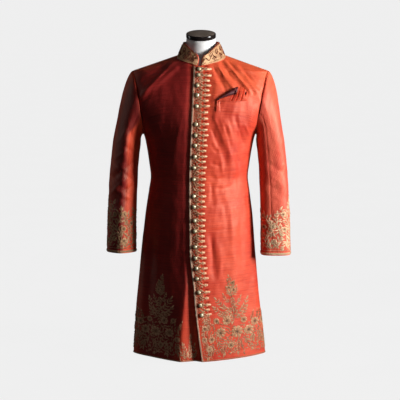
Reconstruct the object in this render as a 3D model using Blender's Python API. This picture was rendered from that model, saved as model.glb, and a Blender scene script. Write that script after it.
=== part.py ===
"""Sherwani coat, buttoned and standing by itself on a limbless dress form.

Units are metres. +Z is up, the wearer faces -Y and the wearer's left is at +X.
The origin is the middle of the underside of the form's base plate.

The coat is a wall of silk with its interlining. Each cut panel is a grid of outside points, worked
out from horizontal sections of the body, and an equal grid one wall further in. Panels that are sewn
together share the points of their seam, and each then gives way by half of SEAM_GAP.
"""

import math
from collections import namedtuple

import bmesh
import bpy
from mathutils import Matrix, Vector
from mathutils.bvhtree import BVHTree

# ---------------------------------------------------------------- driving sizes
SEAM_GAP = 0.0003            # air between two pieces that are sewn or laid together
CLOTH_WALL = 0.0020          # silk, interlining and lining
COLLAR_WALL = 0.0035
LAP_RECESS = 0.0032          # the under front lies this far inside the upper one
LEAST_MITRE = 0.7            # a wall is thickened at a bent seam, but no more than by this share

HEM_Z = 0.012
UNDERARM_Z = 0.785
TIP_Z = 1.000                # outer end of the shoulder seam
SIDE_NECK_Z = 1.0535         # inner end of the shoulder seam
FRONT_NECK_Z = 1.022
BACK_NECK_Z = 1.050

SIDE_ROWS = 18               # rows of cloth from hem to underarm
ARMHOLE_ROWS = 10
SHOULDER_ROWS = 4
FRONT_STEPS = 8              # even columns between the front's pinned lines and its side
BACK_STEPS = 10

# Horizontal sections of the coat's outside. Power 2 is an ellipse and 1 a flat-sided V.
Section = namedtuple("Section", "z half_width front_depth back_depth front_power back_power")
BODY = (
    Section(0.012, 0.2330, 0.130, 0.150, 1.33, 1.65),
    Section(0.128, 0.2230, 0.130, 0.146, 1.35, 1.70),
    Section(0.257, 0.2100, 0.129, 0.139, 1.41, 1.80),
    Section(0.385, 0.1980, 0.127, 0.131, 1.50, 1.90),
    Section(0.512, 0.1850, 0.124, 0.124, 1.62, 2.00),
    Section(0.596, 0.1730, 0.117, 0.110, 1.74, 2.00),
    Section(0.638, 0.1675, 0.114, 0.103, 1.80, 2.00),
    Section(0.680, 0.1720, 0.116, 0.105, 1.86, 2.00),
    Section(0.763, 0.1855, 0.123, 0.117, 1.96, 2.10),
    Section(0.785, 0.1920, 0.124, 0.120, 2.00, 2.15),
    Section(0.820, 0.2110, 0.125, 0.124, 2.10, 2.25),
    Section(0.884, 0.2310, 0.119, 0.127, 2.26, 2.40),
    Section(0.940, 0.2370, 0.105, 0.121, 2.20, 2.35),
    Section(TIP_Z, 0.2315, 0.080, 0.100, 1.60, 1.75),
)
SHOULDER = (
    Section(TIP_Z, 0.2315, 0.080, 0.100, 1.60, 1.75),
    Section(1.0220, 0.1686, 0.072, 0.088, 1.50, 1.60),
    Section(SIDE_NECK_Z, 0.0785, 0.056, 0.068, 1.60, 1.70),
)

# How far the cloth hangs to the wearer's right of the form's middle, at each height.
Sway = namedtuple("Sway", "z x")
SWAY = (
    Sway(0.012, -0.0040),
    Sway(0.110, -0.0060),
    Sway(0.210, -0.0085),
    Sway(0.340, -0.0080),
    Sway(0.500, -0.0055),
    Sway(0.640, -0.0040),
    Sway(0.800, -0.0030),
    Sway(0.900, -0.0010),
    Sway(TIP_Z, 0.0000),
    Sway(SIDE_NECK_Z, 0.0030),
)

# Armhole: an oval cut out of the sections' sides.
ARMHOLE_Z = (UNDERARM_Z + TIP_Z) / 2
ARMHOLE_RISE = (TIP_Z - UNDERARM_Z) / 2
FRONT_BITE = math.radians(30.3)
BACK_BITE = math.radians(32.0)

# Edge of the upper front, which is the wearer's left one. It swings back to the left below the hip.
EdgeStation = namedtuple("EdgeStation", "z x")
FRONT_EDGE = (
    EdgeStation(0.012, 0.0042),
    EdgeStation(0.118, -0.0101),
    EdgeStation(0.207, -0.0196),
    EdgeStation(0.273, -0.0250),
    EdgeStation(0.339, -0.0324),
    EdgeStation(0.400, -0.0374),
    EdgeStation(0.597, -0.0390),
    EdgeStation(0.850, -0.0305),
    EdgeStation(1.030, -0.0230),
)
LAP_LINES = (0.016, 0.025, 0.040)   # from the edge: the collar's two ends and the end of the underlap
LAP_DROP = 0.004                     # the underlap ends below the collar's foot
PLACKET_WIDTH = 0.063

# Below OPENING_TOP the under front stands forward in a ridge, then folds back into a valley.
OPENING_TOP = 0.365
RIDGE_FORWARD = 0.018
RIDGE_REACH = 0.110
VALLEY_BACK = 0.020
VALLEY_FROM_EDGE = 0.008
VALLEY_SPREAD = 0.015
RIDGE_FROM_VALLEY = 0.049
RIDGE_LEAST = 0.012

# Largest folds: each runs straight from one point to another as seen from in front or behind.
# A positive height is a ridge and a negative one a trough.
Fold = namedtuple("Fold", "from_x from_z to_x to_z half_width height")
FRONT_FOLDS = (
    Fold(0.062, 0.985, 0.110, 0.925, 0.012, -0.0040),
    Fold(0.100, 1.000, 0.178, 0.905, 0.012, -0.0050),
    Fold(0.120, 1.002, 0.170, 0.935, 0.009, 0.0035),
    Fold(0.150, 0.995, 0.196, 0.925, 0.010, -0.0040),
    Fold(0.030, 0.850, 0.082, 0.700, 0.016, -0.0055),
    Fold(0.075, 0.830, 0.120, 0.660, 0.014, 0.0035),
    Fold(0.120, 0.850, 0.150, 0.700, 0.014, -0.0040),
    Fold(0.166, 0.560, 0.186, 0.300, 0.016, -0.0050),
    Fold(0.182, 0.420, 0.206, 0.080, 0.014, 0.0050),
    Fold(0.110, 0.470, 0.120, 0.200, 0.022, 0.0040),
    Fold(-0.090, 1.000, -0.190, 0.915, 0.013, 0.0050),
    Fold(-0.070, 0.985, -0.160, 0.890, 0.014, -0.0040),
    Fold(-0.120, 0.860, -0.060, 0.700, 0.020, -0.0040),
    Fold(-0.188, 0.430, -0.214, 0.040, 0.012, 0.0060),
    Fold(-0.168, 0.420, -0.190, 0.040, 0.014, -0.0050),
    Fold(-0.100, 0.560, -0.110, 0.250, 0.024, 0.0040),
)
BACK_FOLDS = (
    Fold(0.160, 0.960, 0.110, 0.860, 0.016, -0.0045),
    Fold(-0.160, 0.960, -0.115, 0.850, 0.016, -0.0045),
    Fold(0.150, 0.760, 0.060, 0.660, 0.016, -0.0040),
    Fold(-0.145, 0.750, -0.060, 0.655, 0.016, -0.0040),
    Fold(0.090, 0.540, 0.125, 0.060, 0.024, 0.0080),
    Fold(-0.095, 0.540, -0.130, 0.060, 0.024, 0.0080),
    Fold(0.040, 0.480, 0.055, 0.040, 0.022, -0.0060),
    Fold(-0.045, 0.480, -0.060, 0.040, 0.022, -0.0060),
    Fold(0.160, 0.440, 0.190, 0.060, 0.018, -0.0050),
    Fold(-0.160, 0.440, -0.190, 0.060, 0.018, -0.0050),
)

# Sleeve sections below the sleeve head, for the wearer's left arm before its lean.
SleeveSection = namedtuple("SleeveSection", "z centre_x centre_y half_width half_depth")
SLEEVE = (
    SleeveSection(0.360, 0.2665, -0.018, 0.0515, 0.0400),
    SleeveSection(0.440, 0.2655, -0.012, 0.0505, 0.0430),
    SleeveSection(0.512, 0.2640, -0.006, 0.0500, 0.0470),
    SleeveSection(0.596, 0.2600, 0.001, 0.0492, 0.0530),
    SleeveSection(0.680, 0.2545, 0.004, 0.0482, 0.0590),
    SleeveSection(0.763, 0.2455, 0.002, 0.0480, 0.0660),
)
SLEEVE_HEAD_Z = 0.763
SLEEVE_HEAD_RINGS = 6
SLEEVE_RING_HEIGHTS = (0.722, 0.686, 0.656, 0.628, 0.600, 0.568, 0.520, 0.465, 0.410)
CUFF_Z = {1: 0.369, -1: 0.377}
SLEEVE_LEAN = {1: -0.006, -1: 0.007}   # the left arm hangs closer to the form
SLEEVE_DIRECTION = Vector((0.20, 0.0, -0.98))
SLEEVE_TURN = 18                       # degrees between two columns of a sleeve
FOREARM_SEAM = -18
HINDARM_SEAM = 198
SLEEVE_TOP_BANDS = (("head", 0, 6), ("arm", 6, 11), ("cuff", 11, 16))   # first and last ring
Crease = namedtuple("Crease", "turn z half_turn half_height rise height")
SLEEVE_CREASES = (
    Crease(10, 0.700, 40, 0.018, 0.020, -0.0040),
    Crease(30, 0.655, 45, 0.016, -0.018, -0.0045),
    Crease(5, 0.612, 45, 0.016, 0.022, -0.0045),
    Crease(35, 0.566, 40, 0.018, -0.020, -0.0035),
    Crease(120, 0.640, 50, 0.030, 0.010, 0.0030),
    Crease(70, 0.830, 30, 0.030, 0.030, -0.0030),
)

# Stand collar.
COLLAR_ROWS = 4
COLLAR_SIDE_TOP_Z = 1.0970
COLLAR_BACK_TOP_Z = 1.0990
COLLAR_FRONT_TOP_Z = 1.0520
COLLAR_TOP_HALF_WIDTH = 0.0600
COLLAR_TOP_FRONT = 0.0610
COLLAR_TOP_BACK = 0.0560
COLLAR_TOP_CENTRE_X = 0.0030
COLLAR_CORNER = 0.012        # radius of the two rounded front corners
COLLAR_SPREAD = 0.0045       # the ends lean apart towards the top
COLLAR_SPREAD_REACH = 0.030
COLLAR_END_SHARE = 0.35      # where the corner's extra column lies between two of the front's

# Buttons down the upper front, from the neck.
BUTTON_RADIUS = 0.0078
BUTTON_SIDES = 10
BUTTON_CROWN = 0.0076
BUTTON_PROFILE = (           # radius and height above the cloth: shank, rim and dome
    (0.0030, 0.0004), (0.0030, 0.0018), (BUTTON_RADIUS, 0.0020), (BUTTON_RADIUS, 0.0036), (0.0052, 0.0064),
)
ButtonPlace = namedtuple("ButtonPlace", "z from_edge")
BUTTONS = (
    ButtonPlace(1.0085, 0.0195), ButtonPlace(0.9890, 0.0180), ButtonPlace(0.9549, 0.0160),
    ButtonPlace(0.9237, 0.0165), ButtonPlace(0.8874, 0.0165), ButtonPlace(0.8276, 0.0165),
    ButtonPlace(0.7912, 0.0165), ButtonPlace(0.7569, 0.0165), ButtonPlace(0.7189, 0.0170),
    ButtonPlace(0.6811, 0.0165), ButtonPlace(0.6419, 0.0165), ButtonPlace(0.5844, 0.0165),
    ButtonPlace(0.5488, 0.0175), ButtonPlace(0.5026, 0.0190), ButtonPlace(0.4669, 0.0195),
    ButtonPlace(0.4133, 0.0195), ButtonPlace(0.3743, 0.0195), ButtonPlace(0.3389, 0.0190),
    ButtonPlace(0.3037, 0.0165), ButtonPlace(0.2564, 0.0180), ButtonPlace(0.2113, 0.0190),
    ButtonPlace(0.1772, 0.0200),
)

# Chest pocket on the wearer's left.
POCKET_LEFT_X = 0.0515
POCKET_RIGHT_X = 0.1530
POCKET_TOP_Z = 0.9050
POCKET_DEPTH_LEFT = 0.034
POCKET_DEPTH_RIGHT = 0.040
WELT_WALL = 0.0018
WELT_ROWS = 3
WELT_STEPS = 12
LAID_GAP = 0.0010            # a flat piece laid over a faceted panel needs a little more air
SquareStation = namedtuple("SquareStation", "share rise puff")
POCKET_SQUARE = (
    SquareStation(0.00, 0.0040, 0.0020),
    SquareStation(0.12, 0.0110, 0.0060),
    SquareStation(0.24, 0.0180, 0.0040),
    SquareStation(0.36, 0.0250, 0.0085),
    SquareStation(0.48, 0.0320, 0.0050),
    SquareStation(0.60, 0.0400, 0.0100),
    SquareStation(0.70, 0.0440, 0.0050),
    SquareStation(0.80, 0.0460, 0.0095),
    SquareStation(0.88, 0.0380, 0.0050),
    SquareStation(0.95, 0.0260, 0.0070),
    SquareStation(1.02, 0.0060, 0.0020),
)
SQUARE_ROWS = 3
SQUARE_STANDOFF = 0.0020

BRAID_SHARE = 0.5            # of the first column, so 8 mm wide
BRAID_WALL = 0.0010

# Dress form.
FormSection = namedtuple("FormSection", "z half_width front_depth back_depth power")
FORM = (
    FormSection(0.560, 0.140, 0.088, 0.080, 2.00),
    FormSection(0.600, 0.145, 0.093, 0.083, 2.00),
    FormSection(0.638, 0.148, 0.096, 0.085, 2.00),
    FormSection(0.690, 0.155, 0.100, 0.089, 2.00),
    FormSection(0.763, 0.164, 0.106, 0.100, 2.00),
    FormSection(0.830, 0.171, 0.108, 0.107, 2.05),
    FormSection(0.884, 0.178, 0.102, 0.107, 2.10),
    FormSection(0.930, 0.186, 0.092, 0.100, 2.05),
    FormSection(0.965, 0.191, 0.078, 0.088, 1.80),
    FormSection(0.990, 0.194, 0.068, 0.078, 1.55),
)
FORM_SEAT = 0.0036           # from the coat's outside down to the form, along the shoulder seam
FORM_RIDGE_X = (0.1980, 0.1650, 0.1320, 0.1000, 0.0800)
FORM_RIDGE_DEPTH_LOSS = 0.014
FORM_RIDGE_POWER_LOSS = 0.25
NECK_CENTRE = Vector((0.0018, 0.002))
NECK_HALF_WIDTH = 0.0515
NECK_TOP_HALF_WIDTH = 0.0495
NECK_HALF_DEPTH = 0.0470
NECK_TOP_Z = 1.1110
CAP_TILT = math.radians(13.5)
CAP_HALF_WIDTH = 0.0505
CAP_HALF_DEPTH = 0.0500
CAP_HEIGHT = 0.0150
CAP_CENTRE_X = 0.0018
CAP_PROFILE = (              # height and share of the full width
    (0.0000, 0.94), (0.0020, 1.0), (CAP_HEIGHT - 0.0050, 1.0), (CAP_HEIGHT - 0.0015, 0.94),
    (CAP_HEIGHT, 0.80),
)
FORM_SIDES = 32

POLE_RADIUS = 0.016
BASE_HALF_WIDTH = 0.125
BASE_HALF_DEPTH = 0.072
BASE_THICKNESS = 0.012
BASE_EDGE = 0.002


# ---------------------------------------------------------------- reading the tables
def smooth(rows, column, z):
    """Value of a column at a height, joined by a curve that never overshoots its rows."""
    heights = [row.z for row in rows]
    values = [getattr(row, column) for row in rows]
    last = len(rows) - 1
    z = min(max(z, heights[0]), heights[last])
    at = max(index for index in range(last) if heights[index] <= z)
    steps = [
        (values[index + 1] - values[index]) / (heights[index + 1] - heights[index])
        for index in range(last)
    ]

    def slope(index):
        before = steps[max(index - 1, 0)]
        after = steps[min(index, last - 1)]
        if before * after <= 0:
            return 0.0
        return 2 * before * after / (before + after)

    width = heights[at + 1] - heights[at]
    share = (z - heights[at]) / width
    square, cube = share**2, share**3
    return (
        values[at] * (2 * cube - 3 * square + 1)
        + slope(at) * width * (cube - 2 * square + share)
        + values[at + 1] * (3 * square - 2 * cube)
        + slope(at + 1) * width * (cube - square)
    )


def mix(low, high, share):
    return low + (high - low) * share


def section(z):
    rows = BODY if z <= TIP_Z else SHOULDER
    return Section(z, *(smooth(rows, column, z) for column in Section._fields[1:]))


def front_edge_x(z):
    return smooth(FRONT_EDGE, "x", z)


def opening(z):
    """0 above the centre opening, 1 at the hem."""
    return min(max((OPENING_TOP - z) / (OPENING_TOP - HEM_Z), 0.0), 1.0)


def valley_x(z):
    return front_edge_x(z) - VALLEY_FROM_EDGE - VALLEY_SPREAD * opening(z)


def ridge_x(z):
    return valley_x(z) - max(RIDGE_LEAST, RIDGE_FROM_VALLEY * opening(z))


# ---------------------------------------------------------------- the coat's outside
def signed_power(value, power):
    return math.copysign(abs(value) ** power, value)


def oval_point(angle, z, half_width, front, back, front_power, back_power):
    """Angle 0 is the centre front, +90 degrees the wearer's left and 180 the centre back."""
    facing = math.cos(angle) > 0
    depth, power = (front, front_power) if facing else (back, back_power)
    x = half_width * signed_power(math.sin(angle), 2 / power)
    y = -depth * signed_power(math.cos(angle), 2 / power)
    return Vector((x, y, z))


def plain_body_point(angle, z):
    size = section(z)
    point = oval_point(
        angle, z, size.half_width, size.front_depth, size.back_depth, size.front_power, size.back_power
    )
    point.x += smooth(SWAY, "x", z)
    return point


def angle_at(x, z):
    """Angle of the front point that is this far from the middle."""
    size = section(z)
    x -= smooth(SWAY, "x", z)
    share = min(abs(x) / size.half_width, 1.0)
    return math.copysign(math.asin(share ** (size.front_power / 2)), x)


def outward(angle, z):
    """Level direction away from the body at this point."""
    step = math.radians(2)
    along = plain_body_point(angle + step, z) - plain_body_point(angle - step, z)
    return Vector((-along.y, along.x, 0)).normalized() * -1


def fold_height(folds, x, z):
    total = 0.0
    for fold in folds:
        start = Vector((fold.from_x, fold.from_z))
        run = Vector((fold.to_x, fold.to_z)) - start
        here = Vector((x, z)) - start
        share = min(max(here.dot(run) / run.length_squared, 0.0), 1.0)
        distance = (here - run * share).length
        total += fold.height * math.exp(-((distance / fold.half_width) ** 2))
    return total


def body_point(angle, z):
    """The body's section with the folds that lie on it."""
    point = plain_body_point(angle, z)
    folds = FRONT_FOLDS if math.cos(angle) > 0 else BACK_FOLDS
    flatness = abs(math.cos(angle)) ** 0.5
    return point + outward(angle, z) * fold_height(folds, point.x, z) * flatness


def opening_shift(x, z):
    """How far back the under front moves, for its ridge, its valley and the lap."""
    share = opening(z)
    stations = (
        (ridge_x(z) - RIDGE_REACH, 0.0),
        (ridge_x(z), -RIDGE_FORWARD * share),
        (valley_x(z), VALLEY_BACK * share + LAP_RECESS * 0.5),
        (front_edge_x(z), LAP_RECESS),
    )
    if x <= stations[0][0]:
        return 0.0
    for (low_x, low), (high_x, high) in zip(stations, stations[1:]):
        if x <= high_x:
            return mix(low, high, (x - low_x) / (high_x - low_x))
    return LAP_RECESS


def neck_z(angle):
    sine = abs(math.sin(angle))
    if math.cos(angle) > 0:
        return FRONT_NECK_Z + (SIDE_NECK_Z - FRONT_NECK_Z) * sine**1.5
    return BACK_NECK_Z + (SIDE_NECK_Z - BACK_NECK_Z) * sine


def armhole_place(turn):
    """Angle and height on the body, for a turn of -90 at the underarm, 0 in front and 90 at the tip."""
    turn = math.radians(turn)
    bite = FRONT_BITE if math.cos(turn) > 0 else BACK_BITE
    return math.pi / 2 - bite * math.cos(turn), ARMHOLE_Z + ARMHOLE_RISE * math.sin(turn)


# ---------------------------------------------------------------- cut pieces
class Piece:
    """One cut piece: rows of outside points, which way is out, and how it gives way at its seams."""

    def __init__(self, name, rows, away_from, wall=CLOTH_WALL):
        self.name = name
        self.rows = rows
        self.wall = wall
        self.shifts = [[Vector() for _ in row] for row in rows]
        self.normals = [
            [self.normal_at(row, column, away_from) for column in range(len(rows[0]))]
            for row in range(len(rows))
        ]
        self.seam_normals = {}
        points = [point for row in rows for point in row]
        self.middle = sum(points, Vector()) / len(points)

    def normal_at(self, row, column, away_from):
        rows = self.rows
        last_row, last_column = len(rows) - 1, len(rows[0]) - 1
        up = rows[min(row + 1, last_row)][column] - rows[max(row - 1, 0)][column]
        across = rows[row][min(column + 1, last_column)] - rows[row][max(column - 1, 0)]
        normal = across.cross(up).normalized()
        return normal if normal.dot(rows[row][column] - away_from(rows[row][column])) > 0 else -normal

    def edge_places(self):
        last_row, last_column = len(self.rows) - 1, len(self.rows[0]) - 1
        for row in range(last_row + 1):
            for column in range(last_column + 1):
                if row in (0, last_row) or column in (0, last_column):
                    yield row, column

    def outer(self, row, column):
        return self.rows[row][column] + self.shifts[row][column]

    def inner(self, row, column):
        own = self.normals[row][column]
        normal = self.seam_normals.get((row, column), own)
        return self.outer(row, column) - normal * self.wall / max(own.dot(normal), LEAST_MITRE)

    def outer_grid(self):
        return [[self.outer(r, c) for c in range(len(row))] for r, row in enumerate(self.rows)]

    def inner_grid(self):
        return [[self.inner(r, c) for c in range(len(row))] for r, row in enumerate(self.rows)]


def body_axis(point):
    return Vector((0, 0, point.z if point.z < TIP_Z else point.z - 0.05))


def column_angles(row_z, start, end, steps):
    """Angles that part the row from start to end into steps of equal length."""
    samples = 20
    angles = [mix(start, end, index / samples) for index in range(samples + 1)]
    points = [plain_body_point(angle, row_z(angle)) for angle in angles]
    lengths = [0.0]
    for before, after in zip(points, points[1:]):
        lengths.append(lengths[-1] + (after - before).length)
    result = []
    at = 0
    for step in range(1, steps):
        wanted = lengths[-1] * step / steps
        while lengths[at + 1] < wanted:
            at += 1
        share = (wanted - lengths[at]) / (lengths[at + 1] - lengths[at])
        result.append(mix(angles[at], angles[at + 1], share))
    return result + [end]


def side_place(row, front):
    """Angle and height where a row ends: on the side seam, the armhole or the shoulder seam."""
    if row <= SIDE_ROWS:
        return math.pi / 2, mix(HEM_Z, UNDERARM_Z, row / SIDE_ROWS)
    if row <= SIDE_ROWS + ARMHOLE_ROWS:
        turn = -90 + 180 * (row - SIDE_ROWS) / ARMHOLE_ROWS
        return armhole_place(turn if front else 180 - turn)
    share = (row - SIDE_ROWS - ARMHOLE_ROWS) / SHOULDER_ROWS
    return math.pi / 2, mix(TIP_Z, SIDE_NECK_Z, share)


def middle_z(row, neck):
    """Height where a row begins, at the front edge or the centre back."""
    if row <= SIDE_ROWS:
        return mix(HEM_Z, UNDERARM_Z, row / SIDE_ROWS)
    return mix(UNDERARM_Z, neck, (row - SIDE_ROWS) / (ARMHOLE_ROWS + SHOULDER_ROWS))


def row_height(row, start, start_z, end, end_z):
    """Height along a row. The upper rows take up the curve of the neck."""
    count = SIDE_ROWS + ARMHOLE_ROWS + SHOULDER_ROWS
    neck_share = max(0.0, (row - count + 2 * SHOULDER_ROWS) / (2 * SHOULDER_ROWS)) ** 2

    def height(angle):
        share = (angle - start) / (end - start)
        straight_neck = mix(neck_z(start), neck_z(end), share)
        return mix(start_z, end_z, share) + neck_share * (neck_z(angle) - straight_neck)

    return height


def front_panel(name, side):
    """A front. Its first columns follow the edge, then the collar's ends or the opening's folds."""
    rows = []
    for row in range(SIDE_ROWS + ARMHOLE_ROWS + SHOULDER_ROWS + 1):
        start_z = middle_z(row, FRONT_NECK_Z)
        edge = front_edge_x(start_z)
        if side > 0:
            lines = [edge] + [edge + line for line in LAP_LINES] + [edge + PLACKET_WIDTH]
        else:
            lines = [edge + line for line in reversed(LAP_LINES)]
            lines += [edge, valley_x(start_z), ridge_x(start_z)]
        angles = [angle_at(x, start_z) for x in lines]
        angle, end_z = side_place(row, front=True)
        height = row_height(row, angles[0], start_z, side * angle, end_z)
        angles += column_angles(height, angles[-1], side * angle, FRONT_STEPS)
        points = [body_point(angle, height(angle)) for angle in angles]
        if side < 0:
            for point in points:
                point.y += opening_shift(point.x, point.z)
            if row == SIDE_ROWS + ARMHOLE_ROWS + SHOULDER_ROWS:
                for point in points[: len(LAP_LINES) + 1]:
                    point.z -= LAP_DROP
        rows.append(points)
    return Piece(name, rows, body_axis)


def back_panel(name, side):
    rows = []
    for row in range(SIDE_ROWS + ARMHOLE_ROWS + SHOULDER_ROWS + 1):
        start_z = middle_z(row, BACK_NECK_Z)
        angle, end_z = side_place(row, front=False)
        height = row_height(row, math.pi * side, start_z, angle * side, end_z)
        angles = [math.pi * side] + column_angles(height, math.pi * side, angle * side, BACK_STEPS)
        rows.append([body_point(angle, height(angle)) for angle in angles])
    return Piece(name, rows, body_axis)


def sleeve_ring_point(side, turn, z):
    size = {column: smooth(SLEEVE, column, z) for column in SleeveSection._fields[1:]}
    radians = math.radians(turn)
    reach = size["centre_x"] + SLEEVE_LEAN[side] + size["half_width"] * math.sin(radians)
    return Vector((side * reach, size["centre_y"] - size["half_depth"] * math.cos(radians), z))


def sleeve_point(side, turn, ring):
    """Outside of a sleeve: the first rings bend over from the armhole, the others are ovals."""
    radians = math.radians(turn)
    if ring <= SLEEVE_HEAD_RINGS:
        angle, z = armhole_place(turn)
        start = body_point(side * angle, z)
        end = sleeve_ring_point(side, turn, SLEEVE_HEAD_Z)
        height = (1 + math.sin(radians)) / 2
        leave = Vector((side * 0.8, -0.3 * math.cos(radians), -0.75 * height)).normalized()
        arrive = Vector((side * SLEEVE_DIRECTION.x * height, 0, SLEEVE_DIRECTION.z)).normalized()
        first = start + leave * mix(0.006, 0.045, height)
        second = end - arrive * (end - start).length / 3
        t = ring / SLEEVE_HEAD_RINGS
        point = (
            start * (1 - t) ** 3 + first * 3 * t * (1 - t) ** 2 + second * 3 * t**2 * (1 - t) + end * t**3
        )
        fading = t
    else:
        heights = (*SLEEVE_RING_HEIGHTS, CUFF_Z[side])
        point = sleeve_ring_point(side, turn, heights[ring - SLEEVE_HEAD_RINGS - 1])
        fading = 1.0
    out = Vector((side * math.sin(radians), -math.cos(radians), 0))
    return point + out * crease_height(turn, point.z) * fading


def crease_height(turn, z):
    total = 0.0
    for crease in SLEEVE_CREASES:
        around = ((turn - crease.turn + 180) % 360 - 180) / crease.half_turn
        along = (z - crease.z - crease.rise * around) / crease.half_height
        total += crease.height * math.exp(-(around**2) - along**2)
    return total


def sleeve_piece(name, side, first_turn, last_turn):
    rings = SLEEVE_HEAD_RINGS + len(SLEEVE_RING_HEIGHTS) + 1
    turns = range(first_turn, last_turn + 1, SLEEVE_TURN)
    rows = [[sleeve_point(side, turn, ring) for turn in turns] for ring in range(rings + 1)]
    ring_middles = [
        sum((sleeve_point(side, turn, ring) for turn in range(0, 360, SLEEVE_TURN)), Vector())
        / (360 // SLEEVE_TURN)
        for ring in range(rings + 1)
    ]

    middle_of = {id(point): middle for row, middle in zip(rows, ring_middles) for point in row}
    return Piece(name, rows, lambda point: middle_of[id(point)])


# ---------------------------------------------------------------- seams
def share_seam_normals(pieces):
    """Where pieces meet, each cuts its wall along the mean of their directions."""
    meeting = {}
    for piece in pieces:
        for row, column in piece.edge_places():
            key = tuple(round(value, 5) for value in piece.rows[row][column])
            meeting.setdefault(key, []).append((piece, row, column))
    for places in meeting.values():
        if len(places) < 2:
            continue
        mean = sum((piece.normals[row][column] for piece, row, column in places), Vector())
        for piece, row, column in places:
            piece.seam_normals[row, column] = mean.normalized()


def sew(first, first_places, second, second_places):
    """Parts two pieces along a seam, each by half the gap, square to the seam and in the cloth."""
    points = [first.rows[row][column] for row, column in first_places]
    last = len(points) - 1
    for index, (place, other) in enumerate(zip(first_places, second_places)):
        along = points[min(index + 1, last)] - points[max(index - 1, 0)]
        normal = first.seam_normals.get(place, first.normals[place[0]][place[1]])
        across = along.cross(normal).normalized()
        if across.dot(second.middle - first.middle) < 0:
            across = -across
        first.shifts[place[0]][place[1]] -= across * SEAM_GAP / 2
        second.shifts[other[0]][other[1]] += across * SEAM_GAP / 2


def sew_body(fronts, backs, sleeves):
    top = SIDE_ROWS + ARMHOLE_ROWS + SHOULDER_ROWS
    tip = SIDE_ROWS + ARMHOLE_ROWS
    centre_back = [(row, 0) for row in range(top + 1)]
    sew(backs[1], centre_back, backs[-1], centre_back)
    for side in (1, -1):
        last_front = len(fronts[side].rows[0]) - 1
        for first_row, last_row in ((0, SIDE_ROWS), (tip, top)):
            rows = range(first_row, last_row + 1)
            sew(
                fronts[side], [(row, last_front) for row in rows],
                backs[side], [(row, BACK_STEPS) for row in rows],
            )
        upper, under = sleeves[side]
        for turn in range(-90, 271, SLEEVE_TURN):
            if turn <= 90:
                panel, row, column = fronts[side], SIDE_ROWS + (turn + 90) // SLEEVE_TURN, last_front
            else:
                panel, row, column = backs[side], SIDE_ROWS + (270 - turn) // SLEEVE_TURN, BACK_STEPS
            join_armhole(panel, row, column, upper, under, turn, side)
        rings = range(len(upper.rows))
        last_upper = len(upper.rows[0]) - 1
        last_under = len(under.rows[0]) - 1
        sew(upper, [(ring, 0) for ring in rings], under, [(ring, last_under) for ring in rings])
        sew(upper, [(ring, last_upper) for ring in rings], under, [(ring, 0) for ring in rings])


def sleeve_column(turn, upper):
    """Column of a turn on the upper or the under sleeve, or None."""
    if upper:
        inside = FOREARM_SEAM <= turn <= HINDARM_SEAM
        return (turn - FOREARM_SEAM) // SLEEVE_TURN if inside else None
    low = turn if turn <= FOREARM_SEAM else turn - 360
    inside = HINDARM_SEAM - 360 <= low <= FOREARM_SEAM
    return (low - HINDARM_SEAM + 360) // SLEEVE_TURN if inside else None


def join_armhole(panel, row, column, upper, under, turn, side):
    """Parts a panel and the sleeve at one station of the armhole."""
    step = math.radians(SLEEVE_TURN)
    around = math.radians(turn)
    ahead_angle, ahead_z = armhole_place(math.degrees(around + step))
    behind_angle, behind_z = armhole_place(math.degrees(around - step))
    along = body_point(side * ahead_angle, ahead_z) - body_point(side * behind_angle, behind_z)
    normal = panel.seam_normals[row, column]
    across = along.cross(normal).normalized()
    if across.dot(Vector((side, 0, -0.3))) < 0:
        across = -across
    panel.shifts[row][column] -= across * SEAM_GAP / 2
    if turn == 270:
        return
    for piece, is_upper in ((upper, True), (under, False)):
        place = sleeve_column(turn, is_upper)
        if place is not None:
            piece.shifts[0][place] += across * SEAM_GAP / 2


# ---------------------------------------------------------------- solids
def material(name, colour, roughness, metallic=0.0):
    made = bpy.data.materials.new(name)
    made.use_nodes = True
    shader = made.node_tree.nodes["Principled BSDF"]
    shader.inputs["Base Color"].default_value = (*colour, 1)
    shader.inputs["Roughness"].default_value = roughness
    shader.inputs["Metallic"].default_value = metallic
    made.diffuse_color = (*colour, 1)
    return made


def finish_object(name, shape, finish, smooth_angle=35):
    bmesh.ops.recalc_face_normals(shape, faces=shape.faces)
    mesh = bpy.data.meshes.new(name)
    shape.to_mesh(mesh)
    shape.free()
    mesh.shade_smooth()
    mesh.set_sharp_from_angle(angle=math.radians(smooth_angle))
    made = bpy.data.objects.new(name, mesh)
    made.data.materials.append(finish)
    bpy.context.scene.collection.objects.link(made)
    return made


def add_quad(shape, a, b, c, d):
    """Two triangles on the same diagonal wherever they are, so that equal grids stay parallel."""
    shape.faces.new((a, b, c))
    shape.faces.new((a, c, d))


def add_rim(shape, outer_a, outer_b, inner_b, inner_a):
    """A rim between two walls. Its diagonal starts at the lower outside point, on both sides of a seam."""
    if outer_a.co.z > outer_b.co.z:
        outer_a, outer_b, inner_b, inner_a = outer_b, outer_a, inner_a, inner_b
    add_quad(shape, outer_a, outer_b, inner_b, inner_a)


def wall_object(name, outer_rows, inner_rows, finish):
    """A closed wall between two grids of the same size."""
    shape = bmesh.new()
    outer = [[shape.verts.new(point) for point in row] for row in outer_rows]
    inner = [[shape.verts.new(point) for point in row] for row in inner_rows]
    last_row, last_column = len(outer) - 1, len(outer[0]) - 1
    for row in range(last_row):
        for column in range(last_column):
            for grid in (outer, inner):
                add_quad(
                    shape, grid[row][column], grid[row][column + 1],
                    grid[row + 1][column + 1], grid[row + 1][column],
                )
    for row in range(last_row):
        for column in (0, last_column):
            add_rim(
                shape, outer[row][column], outer[row + 1][column],
                inner[row + 1][column], inner[row][column],
            )
    for column in range(last_column):
        for row in (0, last_row):
            add_rim(
                shape, outer[row][column], outer[row][column + 1],
                inner[row][column + 1], inner[row][column],
            )
    return finish_object(name, shape, finish)


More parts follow.
